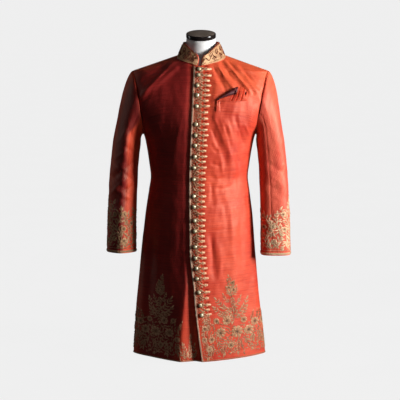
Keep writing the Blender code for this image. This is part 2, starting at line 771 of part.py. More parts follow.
def piece_object(piece, finish):
    return wall_object(piece.name, piece.outer_grid(), piece.inner_grid(), finish)


def band_rows(rows, first, last):
    """Some of a piece's rows. Where the cloth goes on, the end row draws back by half of SEAM_GAP."""
    band = [list(row) for row in rows[first : last + 1]]
    for end, beside, goes_on in ((0, 1, first > 0), (-1, -2, last < len(rows) - 1)):
        if goes_on:
            band[end] = [
                point + (other - point).normalized() * SEAM_GAP / 2
                for point, other in zip(band[end], band[beside])
            ]
    return band


def banded_objects(piece, bands, finish):
    """One cut piece as several shorter solids, so that the hollow of its deep curve stays open."""
    for word, first, last in bands:
        outer, inner = (band_rows(grid, first, last) for grid in (piece.outer_grid(), piece.inner_grid()))
        wall_object(f"{piece.name}_{word}", outer, inner, finish)


def turned_object(name, rings, finish):
    """A solid through closed rings of equal count, capped flat at both ends."""
    shape = bmesh.new()
    loops = [[shape.verts.new(point) for point in ring] for ring in rings]
    count = len(loops[0])
    for low, high in zip(loops, loops[1:]):
        for index in range(count):
            after = (index + 1) % count
            add_quad(shape, low[index], low[after], high[after], high[index])
    for loop in (loops[0], loops[-1]):
        shape.faces.new(loop)
    return finish_object(name, shape, finish)


def collar_object(finish, front_left, front_right, back_left, back_right):
    """Stand collar: its foot follows the necks of the four panels, from one front end to the other."""
    top_row = SIDE_ROWS + ARMHOLE_ROWS + SHOULDER_ROWS
    left_neck = [front_left.outer(top_row, column) for column in range(len(front_left.rows[0]))]
    past_lap = len(LAP_LINES) + 1
    right_neck = [
        front_right.outer(top_row, column) for column in range(past_lap, len(front_right.rows[0]))
    ]
    left_back = [back_left.rows[top_row][column] for column in range(BACK_STEPS)]
    right_back = [back_right.rows[top_row][column] for column in range(1, BACK_STEPS)]
    right_end = [left_neck[1], left_neck[1].lerp(left_neck[0], COLLAR_END_SHARE), left_neck[0]]
    left_end = [left_neck[3], left_neck[2].lerp(left_neck[3], COLLAR_END_SHARE), left_neck[2]]
    foot = right_end + right_neck + right_back[::-1] + left_back + left_neck[:3:-1] + left_end
    outer_rows = [[] for _ in range(COLLAR_ROWS + 1)]
    inner_rows = [[] for _ in range(COLLAR_ROWS + 1)]
    for base in foot:
        angle = math.atan2(base.x, -base.y)
        front = math.cos(angle) > 0
        depth = COLLAR_TOP_FRONT if front else COLLAR_TOP_BACK
        top = oval_point(angle, 0, COLLAR_TOP_HALF_WIDTH, depth, depth, 2, 2)
        inward = -Vector((top.x, top.y, 0)).normalized() * COLLAR_WALL
        end_z = COLLAR_FRONT_TOP_Z if front else COLLAR_BACK_TOP_Z
        top.z = mix(end_z, COLLAR_SIDE_TOP_Z, abs(math.sin(angle)) ** 1.3)
        top.x += COLLAR_TOP_CENTRE_X
        for end, way in ((foot[0], -1), (foot[-1], 1)):
            distance = (base - end).length
            top.x += way * COLLAR_SPREAD * math.exp(-((distance / COLLAR_SPREAD_REACH) ** 2))
            if distance < COLLAR_CORNER:
                top.z -= COLLAR_CORNER - math.sqrt(COLLAR_CORNER**2 - (COLLAR_CORNER - distance) ** 2)
        foot_point = base + Vector((0, 0, SEAM_GAP))
        for row in range(COLLAR_ROWS + 1):
            point = foot_point.lerp(top, row / COLLAR_ROWS)
            outer_rows[row].append(point)
            inner_rows[row].append(point + inward)
    return wall_object("collar", outer_rows, inner_rows, finish)


def skin_of(piece):
    """The piece's outer facets, for laying things on them."""
    grid = piece.outer_grid()
    columns = len(grid[0])
    points = [point for row in grid for point in row]
    faces = []
    for row in range(len(grid) - 1):
        for column in range(columns - 1):
            corner = row * columns + column
            faces.append((corner, corner + 1, corner + columns + 1))
            faces.append((corner, corner + columns + 1, corner + columns))
    return BVHTree.FromPolygons(points, faces)


def on_skin(skin, x, z):
    """The point of the skin straight in front of (x, z), and which way it faces."""
    point, normal, _, _ = skin.ray_cast(Vector((x, -1, z)), Vector((0, 1, 0)))
    return point, normal if normal.y < 0 else -normal


def laid_object(name, skin, places, thickness, finish, gap=LAID_GAP):
    """A flat piece laid on the skin: places is a grid of (x, z), thickness a grid of heights."""
    outer_rows = []
    inner_rows = []
    for place_row, thick_row in zip(places, thickness):
        spots = [on_skin(skin, x, z) for x, z in place_row]
        inner_rows.append([point + normal * gap for point, normal in spots])
        outer_rows.append(
            [point + normal * (gap + high) for (point, normal), high in zip(spots, thick_row)]
        )
    return wall_object(name, outer_rows, inner_rows, finish)


def pocket_welt(skin, finish):
    places = []
    for level in range(WELT_ROWS + 1):
        row = []
        for step in range(WELT_STEPS + 1):
            share = step / WELT_STEPS
            depth = mix(POCKET_DEPTH_LEFT, POCKET_DEPTH_RIGHT, share) * (1 - level / WELT_ROWS)
            row.append((mix(POCKET_LEFT_X, POCKET_RIGHT_X, share), POCKET_TOP_Z - depth))
        places.append(row)
    thickness = [[WELT_WALL] * (WELT_STEPS + 1)] * (WELT_ROWS + 1)
    laid_object("pocket_welt", skin, places, thickness, finish)


def pocket_square(skin, finish):
    """The puffed square rises out of the pocket in slanting folds."""
    places = []
    thickness = []
    for level in range(SQUARE_ROWS + 1):
        share = level / SQUARE_ROWS
        row = []
        heights = []
        for station in POCKET_SQUARE:
            x = mix(POCKET_LEFT_X, POCKET_RIGHT_X, station.share) + 0.004 * share
            row.append((x, POCKET_TOP_Z + SEAM_GAP * 2 + station.rise * share))
            swell = math.sin(math.pi * mix(0.25, 0.85, share))
            heights.append(0.0015 + station.puff * swell)
        places.append(row)
        thickness.append(heights)
    laid_object("pocket_square", skin, places, thickness, finish, SQUARE_STANDOFF)


def front_braid(front_left, finish):
    """Flat gold braid along the upper front's edge."""
    outer_rows = []
    inner_rows = []
    for row in range(len(front_left.rows)):
        normal = front_left.normals[row][0]
        edge = front_left.outer(row, 0)
        inside = edge.lerp(front_left.outer(row, 1), BRAID_SHARE)
        inner_rows.append([point + normal * LAID_GAP for point in (edge, inside)])
        outer_rows.append([point + normal * (LAID_GAP + BRAID_WALL) for point in (edge, inside)])
    wall_object("front_braid", outer_rows, inner_rows, finish)


def button(name, skin, place, finish):
    """A domed shank button, square to the cloth under it."""
    point, normal = on_skin(skin, front_edge_x(place.z) + place.from_edge, place.z)
    turn = normal.to_track_quat("Z", "Y").to_matrix().to_4x4()
    shape = bmesh.new()
    rings = []
    for radius, height in BUTTON_PROFILE:
        ring = []
        for side in range(BUTTON_SIDES):
            angle = 2 * math.pi * side / BUTTON_SIDES
            ring.append(shape.verts.new((radius * math.cos(angle), radius * math.sin(angle), height)))
        rings.append(ring)
    for low, high in zip(rings, rings[1:]):
        for side in range(BUTTON_SIDES):
            after = (side + 1) % BUTTON_SIDES
            add_quad(shape, low[side], low[after], high[after], high[side])
    crown = shape.verts.new((0, 0, BUTTON_CROWN))
    for side in range(BUTTON_SIDES):
        shape.faces.new((rings[-1][side], rings[-1][(side + 1) % BUTTON_SIDES], crown))
    shape.faces.new(rings[0])
    made = finish_object(name, shape, finish)
    made.matrix_world = Matrix.Translation(point) @ turn


# ---------------------------------------------------------------- dress form
def form_ring(z, half_width, front, back, power, centre=Vector((0, 0)), tilt=0.0):
    ring = []
    for side in range(FORM_SIDES):
        angle = 2 * math.pi * side / FORM_SIDES
        point = oval_point(angle, 0, half_width, front, back, power, power)
        ring.append(Vector((point.x + centre.x, point.y + centre.y, z + point.y * math.tan(tilt))))
    return ring


def torso(finish):
    """Torso, shoulders and neck. The coat hangs on the two shoulder ridges."""
    rings = [form_ring(*size) for size in FORM]
    slope = (SIDE_NECK_Z - TIP_Z) / (BODY[-1].half_width - SHOULDER[-1].half_width)
    for x in FORM_RIDGE_X:
        z = TIP_Z + (BODY[-1].half_width - x) * slope - FORM_SEAT
        size = section(z + FORM_SEAT)
        rings.append(
            form_ring(
                z, x, size.front_depth - FORM_RIDGE_DEPTH_LOSS, size.back_depth - FORM_RIDGE_DEPTH_LOSS,
                size.front_power - FORM_RIDGE_POWER_LOSS, Vector((smooth(SWAY, "x", z + FORM_SEAT), 0)),
            )
        )
    for share in (0.12, 0.5, 1.0):
        z = mix(rings[-1][0].z + 0.004, NECK_TOP_Z, share) if share < 1 else NECK_TOP_Z
        width = mix(NECK_HALF_WIDTH + 0.003, NECK_TOP_HALF_WIDTH, share)
        rings.append(
            form_ring(z, width, NECK_HALF_DEPTH, NECK_HALF_DEPTH, 2, NECK_CENTRE, CAP_TILT * share)
        )
    turned_object("form_torso", rings, finish)


def neck_cap(finish):
    """Glossy oval cap, tilted forward like the neck's top."""
    centre = Vector((CAP_CENTRE_X, NECK_CENTRE.y))
    rings = []
    for height, share in CAP_PROFILE:
        rings.append(
            form_ring(
                NECK_TOP_Z + SEAM_GAP + height, CAP_HALF_WIDTH * share, CAP_HALF_DEPTH * share,
                CAP_HALF_DEPTH * share, 2, centre, CAP_TILT,
            )
        )
    turned_object("form_neck_cap", rings, finish)


def stand(finish):
    """Pole under the torso and oval plate on the floor, both hidden by the skirts."""
    pole_low = BASE_THICKNESS + SEAM_GAP
    pole_high = FORM[0].z - SEAM_GAP
    shape = bmesh.new()
    bmesh.ops.create_cone(
        shape, cap_ends=True, segments=16, radius1=POLE_RADIUS, radius2=POLE_RADIUS,
        depth=pole_high - pole_low,
        matrix=Matrix.Translation((0, 0, (pole_high + pole_low) / 2)),
    )
    finish_object("form_pole", shape, finish)
    rings = []
    for z, less in ((0.0, 0.0), (BASE_THICKNESS - BASE_EDGE, 0.0), (BASE_THICKNESS, BASE_EDGE)):
        depth = BASE_HALF_DEPTH - less
        rings.append(form_ring(z, BASE_HALF_WIDTH - less, depth, depth, 2))
    turned_object("form_base", rings, finish)


# ---------------------------------------------------------------- the whole
def build():
    for old in list(bpy.data.objects):
        bpy.data.objects.remove(old, do_unlink=True)
    silk = material("silk", (0.60, 0.075, 0.040), 0.42)
    gold = material("gold_braid", (0.62, 0.42, 0.18), 0.45, 0.6)
    pearl = material("button_pearl", (0.70, 0.70, 0.60), 0.25)
    linen = material("form_cover", (0.86, 0.85, 0.83), 0.85)
    gloss = material("form_gloss", (0.02, 0.015, 0.012), 0.15)
    steel = material("form_stand", (0.10, 0.10, 0.11), 0.40, 0.8)

    fronts = {1: front_panel("front_left", 1), -1: front_panel("front_right", -1)}
    backs = {1: back_panel("back_left", 1), -1: back_panel("back_right", -1)}
    sleeves = {}
    for side, word in ((1, "left"), (-1, "right")):
        sleeves[side] = (
            sleeve_piece(f"sleeve_{word}_top", side, FOREARM_SEAM, HINDARM_SEAM),
            sleeve_piece(f"sleeve_{word}_under", side, HINDARM_SEAM - 360, FOREARM_SEAM),
        )
    pieces = [*fronts.values(), *backs.values(), *sleeves[1], *sleeves[-1]]
    share_seam_normals(pieces)
    sew_body(fronts, backs, sleeves)
    for piece in pieces:
        if piece.name.endswith("_top"):
            banded_objects(piece, SLEEVE_TOP_BANDS, silk)
        else:
            piece_object(piece, silk)
    collar_object(silk, fronts[1], fronts[-1], backs[1], backs[-1])

    skin = skin_of(fronts[1])
    pocket_welt(skin, silk)
    pocket_square(skin, silk)
    front_braid(fronts[1], gold)
    for number, place in enumerate(BUTTONS, 1):
        button(f"button_{number:02d}", skin, place, pearl)

    torso(linen)
    neck_cap(gloss)
    stand(steel)


build()
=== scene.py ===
"""Visual model of a silk sherwani coat that stands on a limbless dress form.

Units are metres. +Z is up, the wearer faces -Y and the wearer's left is at +X.
The cloth follows the sections that the solids are cut from, with its smaller folds added. The
embroidery is drawn in the flat with a pen of padded stitches, and is then laid on the cloth.
"""

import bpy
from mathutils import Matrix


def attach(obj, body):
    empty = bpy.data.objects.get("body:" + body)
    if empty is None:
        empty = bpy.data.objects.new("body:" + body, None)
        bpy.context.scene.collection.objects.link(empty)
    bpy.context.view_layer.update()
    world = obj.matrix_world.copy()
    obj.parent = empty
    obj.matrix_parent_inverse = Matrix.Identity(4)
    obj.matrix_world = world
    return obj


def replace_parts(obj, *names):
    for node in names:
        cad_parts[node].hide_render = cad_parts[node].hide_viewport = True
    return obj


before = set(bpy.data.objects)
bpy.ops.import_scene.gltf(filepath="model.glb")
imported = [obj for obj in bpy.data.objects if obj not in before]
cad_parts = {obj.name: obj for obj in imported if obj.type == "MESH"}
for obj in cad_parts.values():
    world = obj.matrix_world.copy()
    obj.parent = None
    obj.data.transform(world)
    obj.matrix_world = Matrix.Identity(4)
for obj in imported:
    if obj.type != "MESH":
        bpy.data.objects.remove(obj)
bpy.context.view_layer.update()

import logging
import math
from dataclasses import dataclass, field
from enum import Enum
from typing import Any, Callable, Iterable, Sequence

import bpy
import numpy as np
from mathutils import Matrix, Vector
from mathutils.bvhtree import BVHTree

Array = np.ndarray
Material = bpy.types.Material
Piece = bpy.types.Object
Flat = tuple[float, float]
LOG = logging.getLogger("sherwani")
WAVES = 14


class Side(Enum):
    """Which side of the wearer a piece is on."""

    LEFT = 1
    RIGHT = -1

    @property
    def word(self) -> str:
        """The side's name in lower case."""
        return self.name.lower()


# ---------------------------------------------------------------- tables of sizes
@dataclass(frozen=True)
class Section:
    """Horizontal section of the coat's outside: power 2 is an ellipse, 1 a flat-sided V."""

    z: float
    half_width: float
    front_depth: float
    back_depth: float
    front_power: float
    back_power: float


@dataclass(frozen=True)
class Station:
    """A distance across, at a height."""

    z: float
    x: float


@dataclass(frozen=True)
class SleeveSection:
    """Oval section of a sleeve below its head, for the left arm."""

    z: float
    centre_x: float
    centre_y: float
    half_width: float
    half_depth: float


@dataclass(frozen=True)
class Fold:
    """A ridge, or a trough if its height is negative, along a path seen from in front or behind."""

    path: tuple[Flat, ...]
    half_width: float
    height: float
    fade: float = 0.0


@dataclass(frozen=True)
class ArmCrease:
    """A slanting crease round a sleeve. Its turn is in degrees from the front."""

    turn: float
    z: float
    half_turn: float
    half_height: float
    rise: float
    height: float


def table(kind: type, *rows: tuple[Any, ...]) -> tuple[Any, ...]:
    """A table's rows, made objects of one kind from their columns in its fields' order."""
    return tuple(kind(*row) for row in rows)


def fold_rows(*rows: tuple[float, ...]) -> tuple[Fold, ...]:
    """Reads a table of folds that is written in millimetres.

    Args:
        rows: x and z of each place on the path, then half_width, height and fade, which is a share.

    Returns:
        The folds, in metres.
    """
    folds = []
    for *places, half_width, height, fade in rows:
        path = tuple((x / 1000, z / 1000) for x, z in zip(places[::2], places[1::2]))
        folds.append(Fold(path, half_width / 1000, height / 1000, fade))
    return tuple(folds)


def glide(knots: Array, values: Array, slopes: Array, places: Array) -> Array:
    """Reads a smooth curve.

    Args:
        knots: Where its values are given, rising.
        values: Numbers or points at the knots.
        slopes: How fast they change there.
        places: Where it is read.

    Returns:
        The numbers or points at those places.
    """
    at = np.clip(np.searchsorted(knots, places, side="right") - 1, 0, len(knots) - 2)
    shape = at.shape + (1,) * (values.ndim - 1)
    width = (knots[at + 1] - knots[at]).reshape(shape)
    share = (places - knots[at]).reshape(shape) / width
    square, cube = share**2, share**3
    low = values[at] * (2 * cube - 3 * square + 1) + slopes[at] * width * (cube - 2 * square + share)
    return low + values[at + 1] * (3 * square - 2 * cube) + slopes[at + 1] * width * (cube - square)


def smooth(rows: Sequence[Any], name: str, z: Any) -> Array:
    """Reads a column at some heights, on a curve that never overshoots its rows.

    Args:
        rows: Table rows, by rising z.
        name: Column to read.
        z: Heights.

    Returns:
        The column's values at those heights.
    """
    heights = np.array([row.z for row in rows])
    values = np.array([getattr(row, name) for row in rows])
    steps = np.diff(values) / np.diff(heights)
    before = np.concatenate([steps[:1], steps])
    after = np.concatenate([steps, steps[-1:]])
    total = np.where(before + after == 0, 1.0, before + after)
    slopes = np.where(before * after > 0, 2 * before * after / total, 0.0)
    return glide(heights, values, slopes, np.clip(np.asarray(z, float), heights[0], heights[-1]))


def mix(low: Any, high: Any, share: Any) -> Any:
    """Value between low and high at a share of the way."""
    return low + (high - low) * share


def signed_power(value: Array, power: Any) -> Array:
    """Power of a value's size, with the value's sign kept."""
    return np.sign(value) * np.abs(value) ** power


def unit(vectors: Array) -> Array:
    """Vectors along the last axis, made one long."""
    return vectors / np.maximum(np.linalg.norm(vectors, axis=-1, keepdims=True), 1e-12)


def stack(*columns: Any) -> Array:
    """Numbers or arrays side by side along a new last axis, each spread to the same shape."""
    return np.stack(np.broadcast_arrays(*columns), axis=-1)


def arc_lengths(path: Array) -> Array:
    """Distance along a path from its beginning to each of its points."""
    return np.concatenate([[0.0], np.cumsum(np.linalg.norm(np.diff(path, axis=0), axis=1))])


def ripple(x: Array, z: Array, seed: int, height: float, shortest: float, longest: float) -> Array:
    """Small uneven waves of cloth that hangs freely.

    Args:
        x: Places across.
        z: Heights.
        seed: Fixes the waves.
        height: Typical size of the waves.
        shortest: Shortest wave.
        longest: Longest wave.

    Returns:
        Heights above the smooth cloth.
    """
    rng = np.random.default_rng(seed)
    total = np.zeros(np.broadcast(x, z).shape)
    for _ in range(WAVES):
        length = rng.uniform(shortest, longest)
        way = rng.uniform(0, math.pi)
        phase = rng.uniform(0, 2 * math.pi)
        total += np.sin((x * math.cos(way) + z * math.sin(way)) * 2 * math.pi / length + phase)
    return total * height / math.sqrt(WAVES)


# ---------------------------------------------------------------- the coat's outside
@dataclass
class CoatForm:
    """The coat's outside as a function of an angle round the body and a height."""

    hem_z: float = 0.012
    underarm_z: float = 0.785
    tip_z: float = 1.0
    side_neck_z: float = 1.0535
    front_neck_z: float = 1.022
    back_neck_z: float = 1.05
    lap_recess: float = 0.0032
    front_bite: float = math.radians(30.3)
    back_bite: float = math.radians(32.0)
    side_rows: int = 18
    armhole_rows: int = 10
    shoulder_rows: int = 4
    opening_top: float = 0.365
    ridge_forward: float = 0.018
    ridge_reach: float = 0.11
    valley_back: float = 0.012
    valley_from_edge: float = 0.008
    valley_spread: float = 0.015
    ridge_from_valley: float = 0.049
    ridge_least: float = 0.012
    crease_share: float = 1.3
    crease_wobble: float = 0.3
    ripple_height: float = 0.0005
    body: tuple[Section, ...] = table(
        Section,
        (0.012, 0.233, 0.13, 0.15, 1.33, 1.65),
        (0.128, 0.223, 0.13, 0.146, 1.35, 1.7),
        (0.257, 0.21, 0.129, 0.139, 1.41, 1.8),
        (0.385, 0.198, 0.127, 0.131, 1.5, 1.9),
        (0.512, 0.185, 0.124, 0.124, 1.62, 2.0),
        (0.596, 0.173, 0.117, 0.11, 1.74, 2.0),
        (0.638, 0.1675, 0.114, 0.103, 1.8, 2.0),
        (0.68, 0.172, 0.116, 0.105, 1.86, 2.0),
        (0.763, 0.1855, 0.123, 0.117, 1.96, 2.1),
        (0.785, 0.192, 0.124, 0.12, 2.0, 2.15),
        (0.82, 0.211, 0.125, 0.124, 2.1, 2.25),
        (0.884, 0.231, 0.119, 0.127, 2.26, 2.4),
        (0.94, 0.237, 0.105, 0.121, 2.2, 2.35),
        (1.0, 0.2315, 0.08, 0.1, 1.6, 1.75),
    )
    shoulder: tuple[Section, ...] = table(
        Section,
        (1.0, 0.2315, 0.08, 0.1, 1.6, 1.75),
        (1.022, 0.1686, 0.072, 0.088, 1.5, 1.6),
        (1.0535, 0.0785, 0.056, 0.068, 1.6, 1.7),
    )
    sway: tuple[Station, ...] = table(
        Station,
        (0.012, -0.004), (0.11, -0.006), (0.21, -0.0085), (0.34, -0.008), (0.5, -0.0055),
        (0.64, -0.004), (0.8, -0.003), (0.9, -0.001), (1.0, 0.0), (1.0535, 0.003),
    )
    edge: tuple[Station, ...] = table(
        Station,
        (0.012, 0.0042), (0.118, -0.0101), (0.207, -0.0196), (0.273, -0.025), (0.339, -0.0324),
        (0.4, -0.0374), (0.597, -0.039), (0.85, -0.0305), (1.03, -0.023),
    )
    front_folds: tuple[Fold, ...] = fold_rows(
        (62, 985, 110, 925, 12, -2.6, 0),
        (100, 1000, 178, 905, 12, -5, 0),
        (120, 1002, 170, 935, 9, 3.5, 0),
        (150, 995, 196, 925, 10, -4, 0),
        (54, 975, 52, 850, 18, 2.8, 0),
        (106, 915, 110, 770, 20, 2, 0),
        (150, 915, 158, 770, 16, -2.8, 0),
        (34, 850, 86, 700, 15, -2.2, 0),
        (75, 830, 120, 660, 14, 3.5, 0),
        (120, 850, 150, 700, 14, -4, 0),
        (166, 560, 186, 300, 16, -5, 0),
        (182, 420, 206, 80, 14, 5, 0),
        (110, 470, 120, 200, 22, 4, 0),
        (-86, 1012, -198, 918, 10, 4.8, 0),
        (-110, 975, -125, 800, 45, -6.6, 0),
        (-158, 955, -170, 850, 26, -4, 0),
        (-85, 760, -85, 420, 40, 2, 0),
        (-188, 430, -214, 40, 12, 6, 0),
        (-168, 420, -190, 40, 14, -5, 0),
        (-100, 560, -110, 250, 26, 1.8, 0),
    )
    front_creases: tuple[Fold, ...] = fold_rows(
        (40, 1020, 62, 978, 92, 925, 6, -3.2, 0.2),
        (52, 1028, 82, 982, 124, 926, 5, 3, 0.2),
        (64, 1040, 100, 986, 150, 930, 6, -3.6, 0.15),
        (76, 1042, 120, 990, 176, 926, 4.8, 3.6, 0.15),
        (86, 1042, 134, 986, 190, 914, 5.8, -4.8, 0.12),
        (110, 1034, 152, 986, 202, 920, 4.6, 3.4, 0.15),
        (126, 1024, 166, 980, 206, 934, 5, -4.2, 0.15),
        (153.5, 1004, 180, 980, 210, 952, 4.6, -2, 0.2),
        (170, 965, 196, 925, 207, 880, 7, 2.8, 0.3),
        (34, 824, 47, 788, 70, 736, 6, -1.8, 0.3),
        (40, 866, 66, 800, 92, 730, 6, 2, 0.3),
        (70, 850, 92, 790, 124, 676, 6, -2.4, 0.3),
        (112, 862, 134, 800, 162, 722, 6.5, -2.2, 0.25),
        (124, 868, 130, 820, 134, 776, 7.5, 2.6, 0.35),
        (88, 862, 100, 780, 112, 690, 6, 2.2, 0.35),
        (84, 800, 98, 720, 104, 600, 7.5, 2.4, 0.3),
        (116, 760, 128, 690, 128, 600, 7, -1.8, 0.3),
        (58, 760, 70, 700, 76, 640, 6, 1.8, 0.35),
        (100, 560, 106, 480, 104, 390, 8, 1.8, 0.3),
        (134, 520, 140, 430, 146, 330, 8, -1.4, 0.3),
        (146, 836, 164, 790, 172, 720, 6, 2.2, 0.3),
        (32, 770, 46, 742, 72, 722, 5, -1.8, 0.35),
        (30, 706, 48, 690, 80, 684, 4.8, -1.6, 0.35),
        (28, 655, 52, 640, 94, 646, 5, -1.8, 0.35),
        (40, 612, 78, 606, 120, 622, 5.5, -1.6, 0.35),
        (36, 640, 40, 590, 46, 540, 7.5, -2.2, 0.3),
        (34, 490, 42, 380, 50, 285, 10, -4.4, 0.3),
        (62, 440, 68, 360, 64, 260, 10, 1.8, 0.3),
        (148, 600, 162, 500, 168, 380, 9, 2.4, 0.3),
        (186, 520, 198, 360, 216, 180, 7.5, -2.8, 0.2),
        (80, 580, 84, 520, 96, 440, 8.5, -1.8, 0.3),
        (16, 560, 50, 552, 88, 560, 5, -1.2, 0.4),
        (20, 472, 62, 466, 100, 474, 5.5, -1.1, 0.4),
        (-78, 1044, -132, 990, -204, 915, 6, 4, 0.2),
        (-120, 1026, -165, 990, -212, 954, 6, -2.2, 0.2),
        (-150, 965, -176, 930, -196, 884, 6.5, -1.8, 0.25),
        (-58, 850, -80, 780, -104, 620, 10, 0.8, 0.3),
        (-150, 850, -130, 780, -100, 690, 8, 1, 0.3),
        (-52, 660, -90, 640, -140, 650, 5.5, -1, 0.35),
        (-60, 560, -72, 420, -74, 260, 11, -1, 0.3),
        (-130, 540, -146, 380, -150, 220, 11, 1.4, 0.3),
        (-200, 520, -214, 360, -226, 150, 6, -2.2, 0.2),
    )
    back_folds: tuple[Fold, ...] = fold_rows(
        (160, 960, 110, 860, 16, -4.5, 0),
        (-160, 960, -115, 850, 16, -4.5, 0),
        (150, 760, 60, 660, 16, -4, 0),
        (-145, 750, -60, 655, 16, -4, 0),
        (90, 540, 125, 60, 24, 8, 0),
        (-95, 540, -130, 60, 24, 8, 0),
        (40, 480, 55, 40, 22, -6, 0),
        (-45, 480, -60, 40, 22, -6, 0),
        (160, 440, 190, 60, 18, -5, 0),
        (-160, 440, -190, 60, 18, -5, 0),
    )
    back_creases: tuple[Fold, ...] = fold_rows(
        (186, 950, 150, 880, 128, 800, 7.5, -2.8, 0.25),
        (-190, 945, -148, 870, -122, 805, 7.5, -2.8, 0.25),
        (176, 900, 140, 830, 110, 780, 7, 2.2, 0.3),
        (-172, 905, -136, 836, -104, 776, 7, 2.2, 0.3),
        (150, 700, 90, 668, 20, 662, 6.5, -2.4, 0.3),
        (-152, 690, -96, 660, -24, 656, 6.5, -2.4, 0.3),
        (140, 650, 80, 632, 18, 634, 6, -1.8, 0.35),
        (-136, 640, -86, 622, -20, 628, 6, -1.8, 0.35),
        (60, 960, 52, 900, 60, 830, 9, 1.8, 0.35),
        (-64, 960, -54, 890, -60, 820, 9, 1.8, 0.35),
        (130, 560, 150, 400, 160, 220, 10, 2.6, 0.3),
        (-128, 550, -146, 400, -158, 200, 10, 2.6, 0.3),
        (10, 600, 16, 480, 14, 330, 10, 2.2, 0.35),
        (186, 520, 204, 360, 216, 180, 8, -2.6, 0.2),
        (-184, 520, -202, 350, -216, 170, 8, -2.6, 0.2),
    )

    @property
    def row_count(self) -> int:
        """Main rows of the cut, from the hem to the neck."""
        return self.side_rows + self.armhole_rows + self.shoulder_rows

    def sizes(self, z: Array) -> dict[str, Array]:
        """Reads every column of the body's table, or of the shoulder's above its tip.

        Args:
            z: Heights.

        Returns:
            The columns at those heights, by name.
        """
        names = ("half_width", "front_depth", "back_depth", "front_power", "back_power")
        above = z > self.tip_z
        tables = (self.shoulder, self.body)
        return {name: np.where(above, *(smooth(rows, name, z) for rows in tables)) for name in names}

    def sway_x(self, z: Array) -> Array:
        """How far the cloth hangs to one side of the form's middle."""
        return smooth(self.sway, "x", z)

    def edge_x(self, z: Any) -> Array:
        """Where the upper front's edge runs."""
        return smooth(self.edge, "x", z)

    def plain_point(self, angle: Array, z: Array) -> Array:
        """Point of the unfolded cloth.

        Args:
            angle: 0 at the centre front, a quarter turn at the wearer's left.
            z: Heights, in the same shape.

        Returns:
            Points, with three values along the last axis.
        """
        angle, z = np.broadcast_arrays(np.asarray(angle, float), np.asarray(z, float))
        size = self.sizes(z)
        sine, cosine = np.sin(angle), np.cos(angle)
        facing = cosine > 0
        depth = np.where(facing, size["front_depth"], size["back_depth"])
        power = np.where(facing, size["front_power"], size["back_power"])
        x = size["half_width"] * signed_power(sine, 2 / power) + self.sway_x(z)
        y = -depth * signed_power(cosine, 2 / power)
        return stack(x, y, z)

    def angle_at(self, x: Array, z: Array) -> Array:
        """Finds the front points that are some way across.

        Args:
            x: Places across.
            z: Heights.

        Returns:
            Their angles.
        """
        size = self.sizes(np.asarray(z, float))
        x = x - self.sway_x(z)
        share = np.minimum(np.abs(x) / size["half_width"], 1.0)
        return np.sign(x) * np.arcsin(share ** (size["front_power"] / 2))

    def outward(self, angle: Array, z: Array) -> Array:
        """Level directions away from the body.

        Args:
            angle: Angles round the body.
            z: Heights.

        Returns:
            Directions, one long.
        """
        step = math.radians(2)
        along = self.plain_point(angle + step, z) - self.plain_point(angle - step, z)
        return unit(stack(along[..., 1], -along[..., 0], 0.0))

    def fold_height(self, folds: Iterable[Fold], x: Array, z: Array) -> Array:
        """Sum of the folds' heights at some places.

        Args:
            folds: Folds to add up.
            x: Places across.
            z: Heights.

        Returns:
            Distances along the outward direction.
        """
        total = np.zeros(np.broadcast(x, z).shape)
        for fold in folds:
            nearest = np.full(total.shape, np.inf)
            progress = np.zeros(total.shape)
            last = len(fold.path) - 1
            for index in range(last):
                start_x, start_z = fold.path[index]
                run_x, run_z = fold.path[index + 1][0] - start_x, fold.path[index + 1][1] - start_z
                share = ((x - start_x) * run_x + (z - start_z) * run_z) / (run_x**2 + run_z**2)
                share = np.clip(share, 0.0, 1.0)
                distance = np.hypot(x - start_x - run_x * share, z - start_z - run_z * share)
                closer = distance < nearest
                nearest = np.where(closer, distance, nearest)
                progress = np.where(closer, (index + share) / last, progress)
            width, fading = fold.half_width, 1.0
            if fold.fade > 0:
                wobble = np.sin(progress * 9 + fold.path[0][0] * 400)
                width = fold.half_width * (1 + self.crease_wobble * wobble)
                fading = np.clip(np.minimum(progress, 1 - progress) / fold.fade, 0.0, 1.0)
                fading = fading**2 * (3 - 2 * fading)
            total += fold.height * fading * np.exp(-((nearest / width) ** 2))
        return total

    def cloth_point(self, angle: Array, z: Array) -> Array:
        """Points of the cloth with its folds, creases and ripples.

        Args:
            angle: Angles round the body.
            z: Heights.

        Returns:
            Points, with three values along the last axis.
        """
        angle, z = np.broadcast_arrays(np.asarray(angle, float), np.asarray(z, float))
        point = self.plain_point(angle, z)
        facing = np.cos(angle) > 0
        x = point[..., 0]
        front = self.fold_height(self.front_folds, x, z)
        front += self.fold_height(self.front_creases, x, z) * self.crease_share
        back = self.fold_height(self.back_folds + self.back_creases, x, z)
        flatness = np.abs(np.cos(angle)) ** 0.5
        height = np.where(facing, front, back) * flatness
        calm = 0.72 + 0.28 * np.tanh(x / 0.02)
        round_x = x * 2.6 + np.cos(angle) * 0.1
        height += ripple(round_x, z * 0.9, 7, self.ripple_height, 0.04, 0.12) * flatness * calm
        return point + self.outward(angle, z) * height[..., None]

    def opening(self, z: Array) -> Array:
        """0 above the centre opening and 1 at the hem."""
        return np.clip((self.opening_top - z) / (self.opening_top - self.hem_z), 0.0, 1.0)

    def valley_x(self, z: Array) -> Array:
        """Bottom of the fold behind the upper front's edge."""
        return self.edge_x(z) - self.valley_from_edge - self.valley_spread * self.opening(z)

    def ridge_x(self, z: Array) -> Array:
        """Crest of the under front beside the opening."""
        reach = np.maximum(self.ridge_least, self.ridge_from_valley * self.opening(z))
        return self.valley_x(z) - reach

